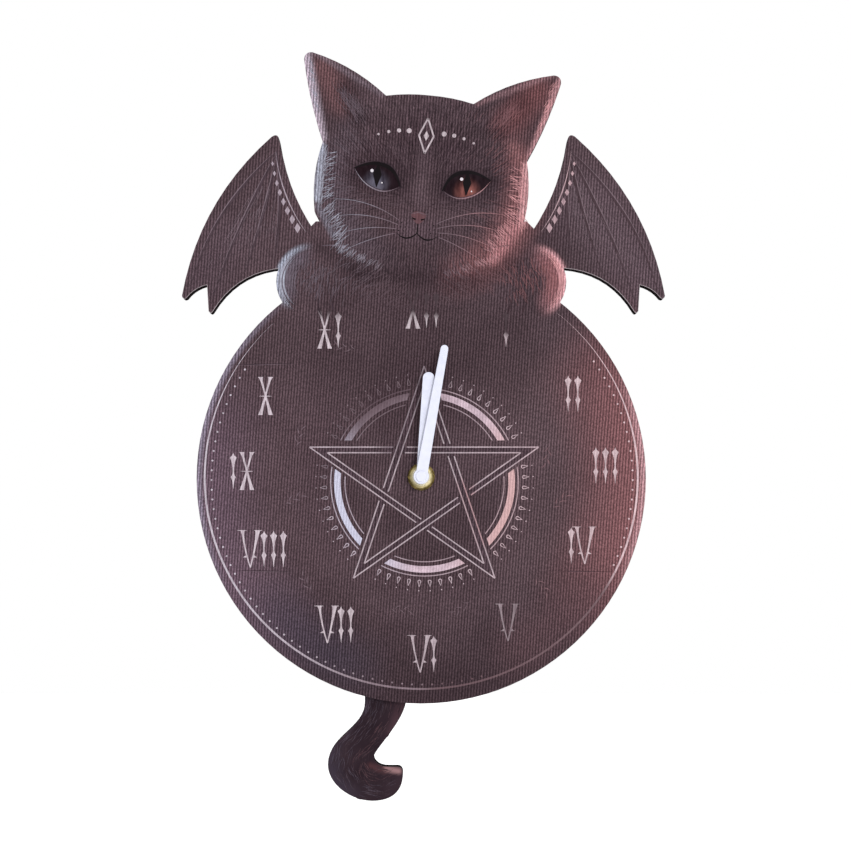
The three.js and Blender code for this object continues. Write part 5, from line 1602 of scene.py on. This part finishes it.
# %% Setting knob
FLUTES = 40
FLUTE_DEPTH = 0.05
GRIP_HALF = 3.6
GRIP_FLOOR = 0.8 * MM
GRIP_TOP = 0.1 * MM
knob_low, knob_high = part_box("set_knob")
knob_middle = (knob_low + knob_high) / 2
knob_radius = (knob_high.x - knob_low.x) / 2
bm = bmesh.new()
made = bmesh.ops.create_circle(bm, cap_ends=True, segments=2 * FLUTES, radius=knob_radius)["verts"]
for number, vert in enumerate(made):
    flute = 1.0 - FLUTE_DEPTH * (number % 2)
    vert.co = (knob_middle.x + vert.co.x * flute, knob_low.y, knob_middle.z + vert.co.y * flute)
drawn = bmesh.ops.extrude_face_region(bm, geom=bm.faces[:], use_keep_orig=True)["geom"]
for vert in (item for item in drawn if isinstance(item, bmesh.types.BMVert)):
    vert.co.y = knob_high.y
bmesh.ops.recalc_face_normals(bm, faces=bm.faces)
rear = [face for face in bm.faces if face.normal.y > 0.9]
bmesh.ops.inset_region(bm, faces=rear, thickness=0.75 * MM, depth=0.0)
bmesh.ops.inset_region(bm, faces=rear, thickness=0.35 * MM, depth=-0.7 * MM)
round_edges(bm, 0.07 * MM, 1, 50)
knob = even(keep("set_knob_skin", bm, [case_black], "motion", "case_black", "set_knob"))
bm = bmesh.new()
half_grip = Vector((GRIP_HALF, 0))
stroke(bm, KNOB - half_grip, KNOB + half_grip, [(0, 0.7), (0.5, 1.3), (1, 0.7)], 8)
grip_depths = (knob_high.y - GRIP_FLOOR, knob_high.y - GRIP_TOP)
grip = printed("knob_grip", bm, case_black, 0, *grip_depths, "motion", "case_black")
print("knob faces", len(knob.data.polygons), "grip", len(grip.data.polygons))

# %% [markdown]
# ## Battery
# An AA cell is a steel can in a shrunk plastic wrapper that curls over both ends. Half of its outline, spun
# round the cell's axis, gives the can, the curled edge and the button in one closed shape. The wrapper is
# charcoal with a pale band at the button's end.

# %% Battery cell
def cell_wrapper():
    """A charcoal wrapper with a pale band and a pale line."""
    made, graph, shader = fresh("cell_wrapper")
    along = graph.along("X")
    grain = graph.group(fine_grain, Scale=260.0, Detail=3.0, Stretch=(0.3, 1, 1))
    band = graph.math("MULTIPLY", graph.step(along, 11.0 * MM, 11.3 * MM), 0.9)
    begins, ends = graph.step(along, 8.4 * MM, 8.6 * MM), graph.step(along, 9.6 * MM, 9.4 * MM)
    colour = graph.mix(grain, tone(40, 42, 46), tone(58, 60, 65))
    for cover in (band, graph.math("MULTIPLY", begins, ends)):
        colour = graph.mix(cover, colour, tone(176, 178, 181))
    coat(graph, shader, colour, grain, (0.26, 0.38))
    return made


cell_low, cell_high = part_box("battery_cell")
cell_axis = Vector((0, (cell_low.y + cell_high.y) / 2, (cell_low.z + cell_high.z) / 2))
CELL_R = (cell_high.z - cell_low.z) / 2 / MM
BUTTON = cell_high.x / MM
SHOULDER = BUTTON - 1.2
FOOT = cell_low.x / MM
CELL_OUTLINE = (
    (FOOT, 0.0),
    (FOOT, 4.6),
    (FOOT + 0.35, 5.0),
    (FOOT + 0.35, 5.7),
    (FOOT + 0.05, 6.0),
    (FOOT + 0.1, 6.7),
    (FOOT + 0.5, CELL_R),
    (SHOULDER - 0.5, CELL_R),
    (SHOULDER - 0.1, 6.7),
    (SHOULDER - 0.05, 6.0),
    (SHOULDER - 0.35, 5.7),
    (SHOULDER - 0.35, 3.4),
    (SHOULDER, 2.7),
    (BUTTON - 0.3, 2.7),
    (BUTTON, 2.4),
    (BUTTON, 0.0),
)
bm = bmesh.new()
outline = [bm.verts.new((x * MM, cell_axis.y, cell_axis.z + radius * MM)) for x, radius in CELL_OUTLINE]
edges = [bm.edges.new(pair) for pair in zip(outline, outline[1:])]
turn = {"cent": cell_axis, "axis": (1, 0, 0), "angle": 2 * math.pi, "steps": 48, "use_merge": True}
bmesh.ops.spin(bm, geom=outline + edges, **turn)
bmesh.ops.remove_doubles(bm, verts=bm.verts, dist=0.002 * MM)
bmesh.ops.recalc_face_normals(bm, faces=bm.faces)
for face in bm.faces:
    offset = face.calc_center_median() - cell_axis
    offset.x = 0
    face.material_index = 0 if offset.length > 5.8 * MM else 1
cell = keep("battery_cell_skin", bm, [cell_wrapper(), steel], "battery", "cell_shell", "battery_cell")
print("cell faces", len(cell.data.polygons))

# %% [markdown]
# ## Hanger, pendulum and weight
# A stamped steel hanger holds the clock on its nail. The tail hangs by a riveted steel strip from the peg
# of the pendulum's arm, and a steel disc balances it. All of them are flat stock with small edge rounds.

# %% Steel and pendulum parts
STEEL_PARTS = (
    ("wall_hanger", 0.2, BODY),
    ("hanging_strip", 0.15, "tail"),
    ("balance_weight", 0.3, "tail"),
    ("strip_rivet_upper", 0.15, "tail"),
    ("strip_rivet_lower", 0.15, "tail"),
)
for node, width, body in STEEL_PARTS:
    softened(node, width * MM, steel, body, "steel")
arm = softened("pendulum_arm", 0.2 * MM, gear_white, "tail", "gear_white")
print("steel parts", len(STEEL_PARTS), "arm faces", len(arm.data.polygons))
